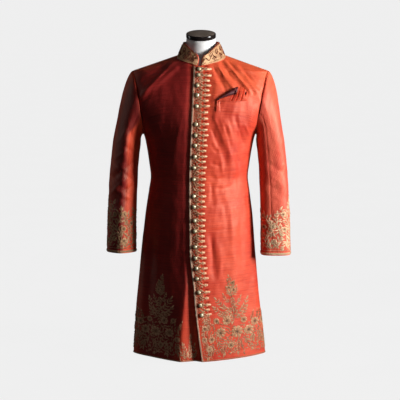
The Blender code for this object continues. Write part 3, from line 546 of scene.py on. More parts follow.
    def opening_shift(self, x: Array, z: Array) -> Array:
        """How far back the under front moves, for its ridge, its valley and the lap.

        Args:
            x: Places across.
            z: Heights.

        Returns:
            Distances along Y.
        """
        share = self.opening(z)
        ridge, valley, edge = self.ridge_x(z), self.valley_x(z), self.edge_x(z)
        crest, floor = -self.ridge_forward * share, self.valley_back * share + self.lap_recess * 0.5

        def shift(place: Array) -> Array:
            """Distances back at some places across, with sharp bends.

            Args:
                place: Places across.

            Returns:
                Distances along Y.
            """
            far = crest * np.clip((place - ridge + self.ridge_reach) / self.ridge_reach, 0, 1)
            near = mix(crest, floor, np.clip((place - ridge) / (valley - ridge), 0, 1))
            lap = mix(floor, self.lap_recess, np.clip((place - valley) / (edge - valley), 0, 1))
            return np.where(place <= ridge, far, np.where(place <= valley, near, lap))

        spread = 0.004 * share
        return sum(shift(x + spread * step) for step in (-1.5, -0.75, 0.0, 0.75, 1.5)) / 5

    def neck_z(self, angle: Array) -> Array:
        """Heights of the neck seam.

        Args:
            angle: Angles round the body.

        Returns:
            The heights.
        """
        sine = np.abs(np.sin(angle))
        front = mix(self.front_neck_z, self.side_neck_z, sine**1.5)
        return np.where(np.cos(angle) > 0, front, mix(self.back_neck_z, self.side_neck_z, sine))

    def armhole(self, turn: Array) -> tuple[Array, Array]:
        """Goes round the armhole.

        Args:
            turn: Degrees on it: -90 is the underarm, 0 the front and 90 the tip of the shoulder.

        Returns:
            Angles round the body, and heights.
        """
        radians = np.radians(turn)
        bite = np.where(np.cos(radians) > 0, self.front_bite, self.back_bite)
        middle, rise = (self.underarm_z + self.tip_z) / 2, (self.tip_z - self.underarm_z) / 2
        return math.pi / 2 - bite * np.cos(radians), middle + rise * np.sin(radians)


# ---------------------------------------------------------------- meshes and sheets
def select_only(*objects: Piece) -> None:
    """Deselects everything, then selects some objects.

    Args:
        objects: What is selected, with the first one active.
    """
    if bpy.context.mode != "OBJECT":
        bpy.ops.object.mode_set(mode="OBJECT")
    bpy.ops.object.select_all(action="DESELECT")
    for one in objects:
        one.select_set(True)
    if objects:
        bpy.context.view_layer.objects.active = objects[0]


def open_mesh() -> None:
    """Goes into edit mode with everything selected."""
    bpy.ops.object.mode_set(mode="EDIT")
    bpy.ops.mesh.select_all(action="SELECT")


def close_mesh(*finishes: Material) -> Piece:
    """Leaves edit mode and dresses the active object.

    Args:
        finishes: Its materials, in order.

    Returns:
        The object.
    """
    bpy.ops.object.mode_set(mode="OBJECT")
    for finish in finishes:
        bpy.context.object.data.materials.append(finish)
    return bpy.context.object


def link_object(name: str, data: bpy.types.ID) -> Piece:
    """Puts an object in the scene.

    Args:
        name: Its name.
        data: Its mesh, camera or light.

    Returns:
        The object.
    """
    made = bpy.data.objects.new(name, data)
    bpy.context.scene.collection.objects.link(made)
    return made


def declare(made: Piece, slot: str, *nodes: str) -> None:
    """Hangs a piece under the root, hides the nodes that it replaces, and logs it.

    Args:
        made: The piece.
        slot: Name of a material slot, which is only logged.
        nodes: Nodes of the frame that it replaces.
    """
    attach(made, "root")
    if nodes:
        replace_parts(made, *nodes)
    LOG.info("%s: %d faces, slot %s", made.name, len(made.data.polygons), slot)


def grid_faces(rows: int, columns: int) -> Array:
    """Corner numbers of the faces between a grid's points."""
    index = np.arange(rows * columns).reshape(rows, columns)
    return stack(index[:-1, :-1], index[:-1, 1:], index[1:, 1:], index[1:, :-1]).reshape(-1, 4)


def rim_faces(rows: int, columns: int) -> Array:
    """Corner numbers of the faces that join the rims of two such grids.

    Args:
        rows: Rows of a grid.
        columns: Its columns.

    Returns:
        Four numbers a face. The second grid's points follow the first one's.
    """
    index = np.arange(rows * columns).reshape(rows, columns)
    loop = np.concatenate([index[0, :-1], index[:-1, -1], index[-1, :0:-1], index[:0:-1, 0]])
    after = np.roll(loop, -1)
    return stack(after, loop, loop + index.size, after + index.size)


def mesh_object(
    name: str, points: Array, faces: Sequence[Sequence[int]], finishes: Sequence[Material],
    thread: Array | None = None, tone: Array | None = None, lined_from: int | None = None,
    sharp: float = 40.0,
) -> Piece:
    """Makes an object from arrays.

    Args:
        name: Object name.
        points: Corner points.
        faces: Corner numbers of each face, turned outwards.
        finishes: Materials, the second one for the lining.
        thread: Flat place of each point on the cloth or thread, in metres.
        tone: Lightness of each point's thread, from 0 to 1.
        lined_from: Number of the first face that takes the second material.
        sharp: Angle in degrees past which an edge isn't smoothed.

    Returns:
        The object, linked to the scene.
    """
    mesh = bpy.data.meshes.new(name)
    mesh.from_pydata(points.tolist(), [], [tuple(face) for face in faces])
    corners = np.empty(len(mesh.loops), np.int32)
    mesh.loops.foreach_get("vertex_index", corners)
    if thread is not None:
        layer = mesh.uv_layers.new(name="thread")
        layer.data.foreach_set("uv", thread[corners].astype(np.float32).ravel())
    if tone is not None:
        shade = mesh.attributes.new("tone", "FLOAT", "POINT")
        shade.data.foreach_set("value", tone.astype(np.float32))
    for finish in finishes:
        mesh.materials.append(finish)
    if lined_from is not None:
        index = np.zeros(len(mesh.polygons), np.int32)
        index[lined_from:] = 1
        mesh.polygons.foreach_set("material_index", index)
    mesh.shade_smooth()
    mesh.set_sharp_from_angle(angle=math.radians(sharp))
    return link_object(name, mesh)


class ClothSheet:
    """One cut piece as a thin shell over a grid of outside points, which dips where it is sewn."""

    dip_depth = 0.001
    dip_reach = 0.0032

    def __init__(
        self, name: str, outer: Array, inside: Array, wall: float = 0.0016,
        sewn: tuple[bool, bool, bool, bool] = (False, False, False, False),
    ) -> None:
        """Works out the sheet's cloth lengths, its outward normals and the dips at its seams.

        Args:
            name: Piece name.
            outer: Grid of outside points, by rows and columns.
            inside: Points that the cloth goes round, which broadcast over the grid.
            wall: Thickness.
            sewn: Whether the first row, last row, first column and last column are seams.
        """
        self.name = name
        self.wall = wall
        along_rows = np.linalg.norm(np.diff(outer, axis=1), axis=-1)
        along_columns = np.linalg.norm(np.diff(outer, axis=0), axis=-1)
        self.across = np.concatenate([np.zeros((len(outer), 1)), np.cumsum(along_rows, 1)], axis=1)
        self.up = np.concatenate([np.zeros((1, outer.shape[1])), np.cumsum(along_columns, 0)])
        normals = unit(np.cross(np.gradient(outer, axis=1), np.gradient(outer, axis=0)))
        self.turned = float(np.sum(normals * (outer - inside))) < 0
        self.normals = -normals if self.turned else normals
        gaps = (self.up, self.up[-1:] - self.up, self.across, self.across[:, -1:] - self.across)
        nearest = np.full(outer.shape[:2], 1.0)
        for gap, is_sewn in zip(gaps, sewn):
            if is_sewn:
                nearest = np.minimum(nearest, gap)
        dip = self.dip_depth * np.exp(-((nearest / self.dip_reach) ** 2))
        self.outer = outer - self.normals * dip[..., None]

    def faces(self) -> Array:
        """Faces of the outer grid, turned outwards."""
        return grid_faces(*self.outer.shape[:2])[:, :: -1 if self.turned else 1]

    def build(self, nodes: Sequence[str], finishes: Sequence[Material], held: str, rests_on: str) -> Piece:
        """Args:
            nodes: Nodes of the frame that the sheet replaces.
            finishes: Cloth and lining.
            rests_on: What it hangs from; not used.

        Returns:
            The object.
        """
        outer = self.faces()
        rim = rim_faces(*self.outer.shape[:2])[:, :: -1 if self.turned else 1]
        inner = self.outer - self.normals * self.wall
        points = np.concatenate([self.outer.reshape(-1, 3), inner.reshape(-1, 3)])
        faces = np.concatenate([outer, rim, outer[:, ::-1] + self.across.size])
        flat = stack(self.across, self.up).reshape(-1, 2)
        lined_from = len(outer) + len(rim)
        made = mesh_object(
            self.name, points, faces, finishes, np.concatenate([flat, flat]), lined_from=lined_from
        )
        width, length = float(self.across.max()), float(self.up.max())
        area = float(np.sum(np.diff(self.across, axis=1)[1:] * np.diff(self.up, axis=0)[:, 1:]))
        declare(made, "silk", *nodes)
        LOG.info("%s: sheet %.3f by %.3f m, %.4f square metres", self.name, width, length, area)
        return made


class ClothSkin:
    """A front seen from before it, so that flat work can be laid on it."""

    def __init__(self, sheet: ClothSheet) -> None:
        """Gathers the outside of the sheet."""
        self.tree = BVHTree.FromPolygons(sheet.outer.reshape(-1, 3).tolist(), sheet.faces().tolist())

    def spot(self, x: float, z: float) -> tuple[Vector, Vector]:
        """Finds a place on the cloth.

        Args:
            x: Place across.
            z: Height.

        Returns:
            The point, and the outward normal there.
        """
        way = Vector((0, 1, 0))
        point, normal, _, _ = self.tree.ray_cast(Vector((x, -1, z)), way)
        if point is None:
            point, normal, _, _ = self.tree.find_nearest(Vector((x, -0.06, z)))
        return point, normal if normal.dot(way) < 0 else -normal

    def lay(self, flat: Array) -> Array:
        """Puts flat work on the cloth.

        Args:
            flat: Place across, height and rise above the cloth of each point.

        Returns:
            The points in space.
        """
        result = np.empty_like(flat)
        for index, (x, z, rise) in enumerate(flat.tolist()):
            point, normal = self.spot(x, z)
            result[index] = point + normal * rise
        return result


# ---------------------------------------------------------------- the coat's cut
@dataclass
class BodyPanels:
    """Two fronts and two backs, from hem to shoulder."""

    form: CoatForm
    side_parts: int = 9
    armhole_parts: int = 5
    shoulder_parts: int = 5
    front_columns: int = 50
    back_columns: int = 58
    placket: tuple[float, ...] = (
        0.0, 0.004, 0.008, 0.012, 0.016, 0.0205, 0.025, 0.03, 0.035, 0.04, 0.046, 0.052, 0.0575, 0.063,
    )
    underlap: tuple[float, ...] = (0.04, 0.035, 0.03, 0.025, 0.0205, 0.016, 0.012, 0.008, 0.004, 0.0)
    lap_drop: float = 0.004
    sheets: dict[str, ClothSheet] = field(default_factory=dict)

    def row_places(self) -> Array:
        """Places the fine rows among the cut's main rows.

        Returns:
            Row numbers, with fractions.
        """
        form = self.form
        side = np.linspace(0, form.side_rows, form.side_rows * self.side_parts + 1)
        tip = form.side_rows + form.armhole_rows
        hole = np.linspace(form.side_rows, tip, form.armhole_rows * self.armhole_parts + 1)[1:]
        top = np.linspace(tip, tip + form.shoulder_rows, form.shoulder_rows * self.shoulder_parts + 1)[1:]
        return np.concatenate([side, hole, top])

    def side_place(self, row: float, front: bool) -> Flat:
        """Finds where a row ends, on the side seam, the armhole or the shoulder seam.

        Args:
            row: The row's place.
            front: Whether it is on a front.

        Returns:
            Angle and height.
        """
        form = self.form
        if row <= form.side_rows:
            return math.pi / 2, mix(form.hem_z, form.underarm_z, row / form.side_rows)
        if row <= form.side_rows + form.armhole_rows:
            turn = -90 + 180 * (row - form.side_rows) / form.armhole_rows
            angle, z = form.armhole(np.array(turn if front else 180 - turn))
            return float(angle), float(z)
        share = (row - form.side_rows - form.armhole_rows) / form.shoulder_rows
        return math.pi / 2, mix(form.tip_z, form.side_neck_z, share)

    def row_start(self, row: float, neck: float) -> float:
        """Finds where a row begins, at the front edge or the centre back.

        Args:
            row: The row's place.
            neck: Height of the neck there.

        Returns:
            Height.
        """
        form = self.form
        if row <= form.side_rows:
            return mix(form.hem_z, form.underarm_z, row / form.side_rows)
        share = (row - form.side_rows) / (form.armhole_rows + form.shoulder_rows)
        return mix(form.underarm_z, neck, share)

    def row_line(self, row: float, lines: Array, start_z: float, end: Flat, steps: int) -> Array:
        """Angles and heights along one row.

        Args:
            row: The row's place.
            lines: Angles that the row has to pass through, from its beginning.
            start_z: Height of its beginning.
            end: Angle and height of its end.
            steps: Even columns from the last of the lines to the end.

        Returns:
            Two rows of numbers: angles and heights.
        """
        form = self.form
        late = 2 * form.shoulder_rows
        share_up = max(0.0, (row - form.row_count + late) / late) ** 2
        start, (finish, end_z) = lines[0], end

        def height(angle: Array) -> Array:
            """Heights of the row at some angles.

            Args:
                angle: Angles round the body.

            Returns:
                The heights.
            """
            share = (angle - start) / (finish - start)
            straight = mix(form.neck_z(start), form.neck_z(finish), share)
            return mix(start_z, end_z, share) + share_up * (form.neck_z(angle) - straight)

        samples = np.linspace(lines[-1], finish, 60)
        points = form.plain_point(samples, height(samples))
        lengths = arc_lengths(points)
        even = np.interp(np.linspace(0, lengths[-1], steps + 1)[1:], lengths, samples)
        angles = np.concatenate([lines, even])
        return np.stack([angles, height(angles)])

    def front(self, side: Side, finishes: Sequence[Material]) -> None:
        """Cuts one front. Its first columns follow the edge, and on the right the opening's folds.

        Args:
            side: Which front.
            finishes: Cloth and lining.
        """
        form, rows = self.form, []
        for row in self.row_places():
            start_z = self.row_start(row, form.front_neck_z)
            edge = float(form.edge_x(start_z))
            if side is Side.LEFT:
                lines = edge + np.array(self.placket)
            else:
                valley, ridge = float(form.valley_x(start_z)), float(form.ridge_x(start_z))
                lines = np.concatenate(
                    [
                        edge + np.array(self.underlap), np.linspace(edge, valley, 5)[1:],
                        np.linspace(valley, ridge, 9)[1:],
                    ]
                )
            angle, end_z = self.side_place(row, True)
            start_angles = form.angle_at(lines, np.full(len(lines), start_z))
            end = (side.value * angle, end_z)
            rows.append(self.row_line(row, start_angles, start_z, end, self.front_columns))
        grid = np.stack(rows)
        points = form.cloth_point(grid[:, 0], grid[:, 1])
        if side is Side.RIGHT:
            points[..., 1] += form.opening_shift(points[..., 0], points[..., 2])
            late = np.clip(self.row_places() - form.row_count + 1, 0, 1)[:, None]
            points[:, : len(self.underlap), 2] -= self.lap_drop * late
        self.sew(f"front_{side.word}", points, (False, True, False, True), finishes)

    def back(self, side: Side, finishes: Sequence[Material]) -> None:
        """Cuts one back, from the centre back seam to the side.

        Args:
            side: Which back.
            finishes: Cloth and lining.
        """
        form, rows = self.form, []
        for row in self.row_places():
            start_z = self.row_start(row, form.back_neck_z)
            angle, end_z = self.side_place(row, False)
            start = np.array([math.pi * side.value])
            rows.append(self.row_line(row, start, start_z, (side.value * angle, end_z), self.back_columns))
        grid = np.stack(rows)
        points = form.cloth_point(grid[:, 0], grid[:, 1])
        self.sew(f"back_{side.word}", points, (False, True, True, True), finishes)

    def sew(
        self, name: str, points: Array, sewn: tuple[bool, bool, bool, bool], finishes: Sequence[Material]
    ) -> None:
        """Makes a panel of its outside points.

        Args:
            name: Its name, which is also its node's.
            points: Grid of outside points.
            sewn: Whether its hem, neck, first column and last column are seams.
            finishes: Cloth and lining.
        """
        inside = points * np.array([0.0, 0.0, 1.0]) - np.array([0.0, 0.0, 0.03])
        self.sheets[name] = ClothSheet(f"silk_{name}", points, inside, sewn=sewn)
        self.sheets[name].build([name], finishes, "hung", "form_torso")

    def build(self, finishes: Sequence[Material]) -> None:
        """Cuts and makes the four panels.

        Args:
            finishes: Cloth and lining.
        """
        for side in Side:
            self.front(side, finishes)
            self.back(side, finishes)


@dataclass
class Sleeves:
    """Two-piece sleeves, each with a top and an under piece."""

    form: CoatForm
    head_z: float = 0.763
    cuff_left_z: float = 0.369
    cuff_right_z: float = 0.377
    cuff_radius: float = 0.0465
    lean_left: float = -0.006
    lean_right: float = 0.007
    way_out: float = 0.2
    way_down: float = -0.98
    forearm_seam: float = -18.0
    hindarm_seam: float = 198.0
    head_rings: int = 30
    roll: float = 0.0045
    boxiness_left: float = 2.9
    boxiness_right: float = 1.5
    arm_rings: int = 96
    turn_step: float = 4.0
    sections: tuple[SleeveSection, ...] = table(
        SleeveSection,
        (0.36, 0.2665, -0.018, 0.0515, 0.04),
        (0.44, 0.2655, -0.012, 0.0505, 0.043),
        (0.512, 0.264, -0.006, 0.05, 0.047),
        (0.596, 0.26, 0.001, 0.0492, 0.053),
        (0.68, 0.2545, 0.004, 0.0482, 0.059),
        (0.763, 0.2455, 0.002, 0.048, 0.066),
    )
    main_creases: tuple[ArmCrease, ...] = table(
        ArmCrease,
        (10, 0.7, 40, 0.018, 0.02, -0.004),
        (30, 0.655, 45, 0.016, -0.018, -0.0045),
        (5, 0.612, 45, 0.016, 0.022, -0.0045),
        (35, 0.566, 40, 0.018, -0.02, -0.0035),
        (120, 0.64, 50, 0.03, 0.01, 0.003),
        (70, 0.83, 30, 0.03, 0.03, -0.003),
    )
    small_creases: tuple[ArmCrease, ...] = table(
        ArmCrease,
        (-20, 0.742, 34, 0.0075, 0.016, -0.0026),
        (18, 0.724, 30, 0.007, -0.014, 0.0022),
        (48, 0.69, 30, 0.007, 0.018, -0.0026),
        (-6, 0.676, 36, 0.0065, -0.02, -0.0028),
        (24, 0.668, 26, 0.006, 0.012, 0.0024),
        (-24, 0.648, 30, 0.0065, 0.014, -0.0026),
        (36, 0.634, 34, 0.0065, 0.016, -0.003),
        (4, 0.628, 28, 0.006, -0.016, 0.0026),
        (-12, 0.602, 34, 0.0065, -0.012, -0.003),
        (44, 0.598, 30, 0.0065, -0.018, 0.0024),
        (20, 0.584, 32, 0.006, 0.018, -0.0028),
        (-30, 0.576, 28, 0.0065, 0.012, 0.0022),
        (10, 0.552, 36, 0.007, -0.016, -0.0024),
        (50, 0.536, 32, 0.008, 0.02, -0.002),
        (0, 0.524, 34, 0.008, 0.01, 0.0018),
        (62, 0.8, 20, 0.009, 0.02, -0.0022),
        (20, 0.79, 22, 0.01, -0.024, 0.0022),
        (-10, 0.805, 22, 0.009, 0.02, -0.0024),
        (150, 0.7, 34, 0.01, 0.014, -0.0022),
        (170, 0.64, 34, 0.009, -0.014, -0.0026),
        (160, 0.59, 30, 0.009, 0.016, -0.0022),
        (210, 0.61, 40, 0.008, -0.012, -0.0022),
        (120, 0.47, 40, 0.012, 0.016, 0.0018),
    )
    sheets: dict[str, ClothSheet] = field(default_factory=dict)

    def cuff_z(self, side: Side) -> float:
        """Height of the sleeve's hem."""
        return self.cuff_left_z if side is Side.LEFT else self.cuff_right_z

    def away(self, side: Side, turn: Array) -> Array:
        """Level directions out of the arm of one side, at some degrees from the front."""
        radians = np.radians(turn)
        return stack(side.value * np.sin(radians), -np.cos(radians), 0.0)

    def strength(self, side: Side, is_main: bool) -> float:
        """Share of a crease's height: the left arm hangs straighter than the right.

        Args:
            side: Which sleeve.
            is_main: Whether the crease is a main one.

        Returns:
            The share.
        """
        if side is Side.LEFT:
            return 0.55 if is_main else 0.3
        return 0.85 if is_main else 0.8

    def ring_point(self, side: Side, turn: Array, z: Array) -> Array:
        """Points of the oval sleeve below its head.

        Args:
            side: Which sleeve.
            turn: Degrees from the front, 90 at the outside of the arm.
            z: Heights.

        Returns:
            The points.
        """
        lean = self.lean_left if side is Side.LEFT else self.lean_right
        turn, z = np.broadcast_arrays(np.radians(turn), np.asarray(z, float))
        power = self.boxiness_left if side is Side.LEFT else self.boxiness_right
        fuller = (np.abs(np.sin(turn)) ** power + np.abs(np.cos(turn)) ** power) ** (-1 / power)
        reach = smooth(self.sections, "centre_x", z) + lean
        reach = reach + smooth(self.sections, "half_width", z) * np.sin(turn) * fuller
        depth = smooth(self.sections, "half_depth", z) * fuller
        y = smooth(self.sections, "centre_y", z) - depth * np.cos(turn)
        return stack(side.value * reach, y, z)

    def head_point(self, side: Side, turn: Array, share: Array) -> Array:
        """Points of the sleeve head, which bends over from the armhole.

        Args:
            side: Which sleeve.
            turn: Degrees from the front, 90 at the outside of the arm.
            share: 0 at the armhole and 1 under the head.

        Returns:
            The points.
        """
        angle, z = self.form.armhole(turn)
        start = self.form.cloth_point(side.value * angle, z)
        end = self.ring_point(side, turn, np.full(np.shape(turn), self.head_z))
        radians = np.radians(turn)
        height = (1 + np.sin(radians)) / 2
        ahead = np.cos(radians)
        leave = unit(stack(side.value * 0.8, -0.3 * ahead, -0.75 * height))
        arrive = unit(stack(side.value * self.way_out * height, 0.0, self.way_down))
        first = start + leave * mix(0.006, 0.045, height)[..., None]
        second = end - arrive * (np.linalg.norm(end - start, axis=-1) / 3)[..., None]
        t = share[..., None]
        return (
            start * (1 - t) ** 3 + first * 3 * t * (1 - t) ** 2 + second * 3 * t**2 * (1 - t) + end * t**3
        )

    def point(self, side: Side, turn: Array, travel: Array) -> Array:
        """Point of the sleeve's outside.

        Args:
            side: Which sleeve.
            turn: Degrees from the front, 90 at the outside of the arm.
            travel: 0 at the armhole, 1 under the head and 2 at the cuff.

        Returns:
            Points, with three values along the last axis.
        """
        turn, travel = np.broadcast_arrays(np.asarray(turn, float), np.asarray(travel, float))
        head = self.head_point(side, turn, np.clip(travel, 0, 1))
        z = mix(self.head_z, self.cuff_z(side), np.clip(travel - 1, 0, 1))
        place = np.where((travel <= 1)[..., None], head, self.ring_point(side, turn, z))
        total = np.zeros(turn.shape)
        for number, crease in enumerate(self.main_creases + self.small_creases):
            shift = 0.006 * side.value
            share = self.strength(side, number < len(self.main_creases))
            around = ((turn - crease.turn + 180) % 360 - 180) / crease.half_turn
            along = (place[..., 2] - crease.z - shift - crease.rise * around) / crease.half_height
            total += share * crease.height * np.exp(-(around**2) - along**2)
        radians = np.radians(turn)
        total += ripple(
            0.05 * np.sin(radians) * 1.6, place[..., 2] + 0.03 * np.cos(radians), 11, 0.0005, 0.035, 0.11
        )
        seam = self.roll * np.clip(travel / 0.026, 0, 1) * np.exp(-((travel / 0.3) ** 2))
        total = total * np.clip(travel, 0, 1) + seam * np.abs(np.cos(radians)) ** 0.5
        return place + self.away(side, turn) * total[..., None]

    def lay(self, side: Side) -> Callable[[Array], Array]:
        """How flat work goes on a cuff: its places across count from the arm's outside to the front.

        Args:
            side: Which sleeve.

        Returns:
            A function that puts flat points on the cuff.
        """
        def put(flat: Array) -> Array:
            """Puts flat work on the cuff.

            Args:
                flat: Place across, height and rise of each point.

            Returns:
                The points in space.
            """
            turn = 90 - np.degrees(flat[:, 0] / self.cuff_radius)
            travel = 1 + (self.head_z - flat[:, 1]) / (self.head_z - self.cuff_z(side))
            place = self.point(side, turn, travel)
            return place + self.away(side, turn) * flat[:, 2:3]

        return put

    def build(self, silks: dict[Side, Material], lining: Material) -> None:
        """Cuts and makes the four pieces.

        Args:
            silks: Cloth of each sleeve.
            lining: Their lining.
        """
        travel = np.concatenate(
            [
                (0.0, 0.009, 0.018, 0.028, 0.042, 0.06), np.linspace(0.08, 1, self.head_rings),
                np.linspace(1, 2, self.arm_rings + 1)[1:],
            ]
        )
        for side in Side:
            for part, first, last in (
                ("top", self.forearm_seam, self.hindarm_seam),
                ("under", self.hindarm_seam - 360, self.forearm_seam),
            ):
                turns = np.linspace(first, last, round((last - first) / self.turn_step) + 1)
                outer = self.point(side, turns[None, :], travel[:, None])
                circle = self.point(side, np.arange(0, 360, 15)[None, :], travel[:, None])
                inside = circle.mean(axis=1, keepdims=True)
                name = f"sleeve_{side.word}_{part}"
                sheet = ClothSheet(f"silk_{name}", outer, inside, sewn=(True, False, True, True))
                self.sheets[name] = sheet
                nodes = [f"{name}_{band}" for band in ("head", "arm", "cuff")] if part == "top" else [name]
                sheet.build(nodes, (silks[side], lining), "hung", "form_torso")


@dataclass
class Collar:
    """Stand collar, whose foot follows the necks of the four panels."""

    panels: BodyPanels
    side_top_z: float = 1.097
    back_top_z: float = 1.099
    front_top_z: float = 1.052
    top_half_width: float = 0.06
    top_front: float = 0.061
    top_back: float = 0.056
    centre_x: float = 0.003
    corner: float = 0.012
    spread: float = 0.0045
    spread_reach: float = 0.03
    rows: int = 14
    columns: int = 170
    wall: float = 0.003
    grid: Array = field(default_factory=lambda: np.zeros((1, 1, 3)))
    normals: Array = field(default_factory=lambda: np.zeros((1, 1, 3)))

    def foot(self) -> Array:
        """Follows the necks of the four panels.

        Returns:
            Points of the collar's foot, from its right end round the back to its left end.
        """
        sheets = self.panels.sheets
        left = sheets["front_left"].outer[-1]
        right = sheets["front_right"].outer[-1]
        past_lap = len(self.panels.underlap) + 3
        line = np.concatenate(
            [
                left[4::-1], right[past_lap:], sheets["back_right"].outer[-1][-2::-1],
                sheets["back_left"].outer[-1][1:], left[-2:5:-1],
            ]
        )
        lengths = arc_lengths(line)
        even = np.linspace(0, lengths[-1], self.columns + 1)
        return stack(*(np.interp(even, lengths, line[:, axis]) for axis in range(3)))

    def shape(self) -> None:
        """Works out the collar's outside and its normals."""
        foot = self.foot()
        angle = np.arctan2(foot[:, 0], -foot[:, 1])
        front = np.cos(angle) > 0
        depth = np.where(front, self.top_front, self.top_back)
        top = stack(self.top_half_width * np.sin(angle), -depth * np.cos(angle), 0.0)
        end_z = np.where(front, self.front_top_z, self.back_top_z)
        top[:, 2] = mix(end_z, self.side_top_z, np.abs(np.sin(angle)) ** 1.3)
        top[:, 0] += self.centre_x
        for end, way in ((foot[0], -1), (foot[-1], 1)):
            distance = np.linalg.norm(foot - end, axis=1)
            top[:, 0] += way * self.spread * np.exp(-((distance / self.spread_reach) ** 2))
            inside = np.clip(self.corner - distance, 0, None)
            top[:, 2] -= self.corner - np.sqrt(self.corner**2 - inside**2)
        share = np.linspace(0, 1, self.rows + 1)[:, None, None]
        self.grid = mix(foot[None] + np.array([0, 0, 0.0003]), top[None], share)
        flat = stack(np.sin(angle), -np.cos(angle), 0.0)
        self.normals = np.broadcast_to(flat, self.grid.shape)

    def length(self) -> float:
        """Length round the collar, half way up."""
        return float(np.sum(np.linalg.norm(np.diff(self.grid[self.rows // 2], axis=0), axis=1)))

    def lay(self, flat: Array) -> Array:
        """Puts flat work on the collar.

        Args:
            flat: Length from the right end, share of the height and rise of each point.

        Returns:
            The points in space.
        """
        column = np.clip(flat[:, 0] / self.length(), 0, 1) * self.columns
        row = np.clip(flat[:, 1], 0, 1) * self.rows
        low_row = np.minimum(row.astype(int), self.rows - 1)
        low_column = np.minimum(column.astype(int), self.columns - 1)
        up, over = (row - low_row)[:, None], (column - low_column)[:, None]

        def read(grid: Array) -> Array:
            """Reads a grid between its points.

            Args:
                grid: Points or normals of the collar.

            Returns:
                One of them for each flat point.
            """
            low = mix(grid[low_row, low_column], grid[low_row, low_column + 1], over)
            high = mix(grid[low_row + 1, low_column], grid[low_row + 1, low_column + 1], over)
            return mix(low, high, up)

        return read(self.grid) + read(self.normals) * flat[:, 2:3]

    def build(self, finishes: Sequence[Material]) -> None:
        """Makes the collar's sheet.

        Args:
            finishes: Cloth and lining.
        """
        self.shape()
        inside = self.grid * np.array([0.0, 0.0, 1.0])
        sheet = ClothSheet("silk_collar", self.grid, inside, self.wall, (True, False, False, False))
        sheet.build(["collar"], finishes, "stretched", "form_torso")


# ---------------------------------------------------------------- pocket, buttons, form
@dataclass(frozen=True)
class Pleat:
    """Line of the square's cloth from its place in the pocket's mouth to its tip."""

    share: float
    tip: float
    rise: float
    puff: float


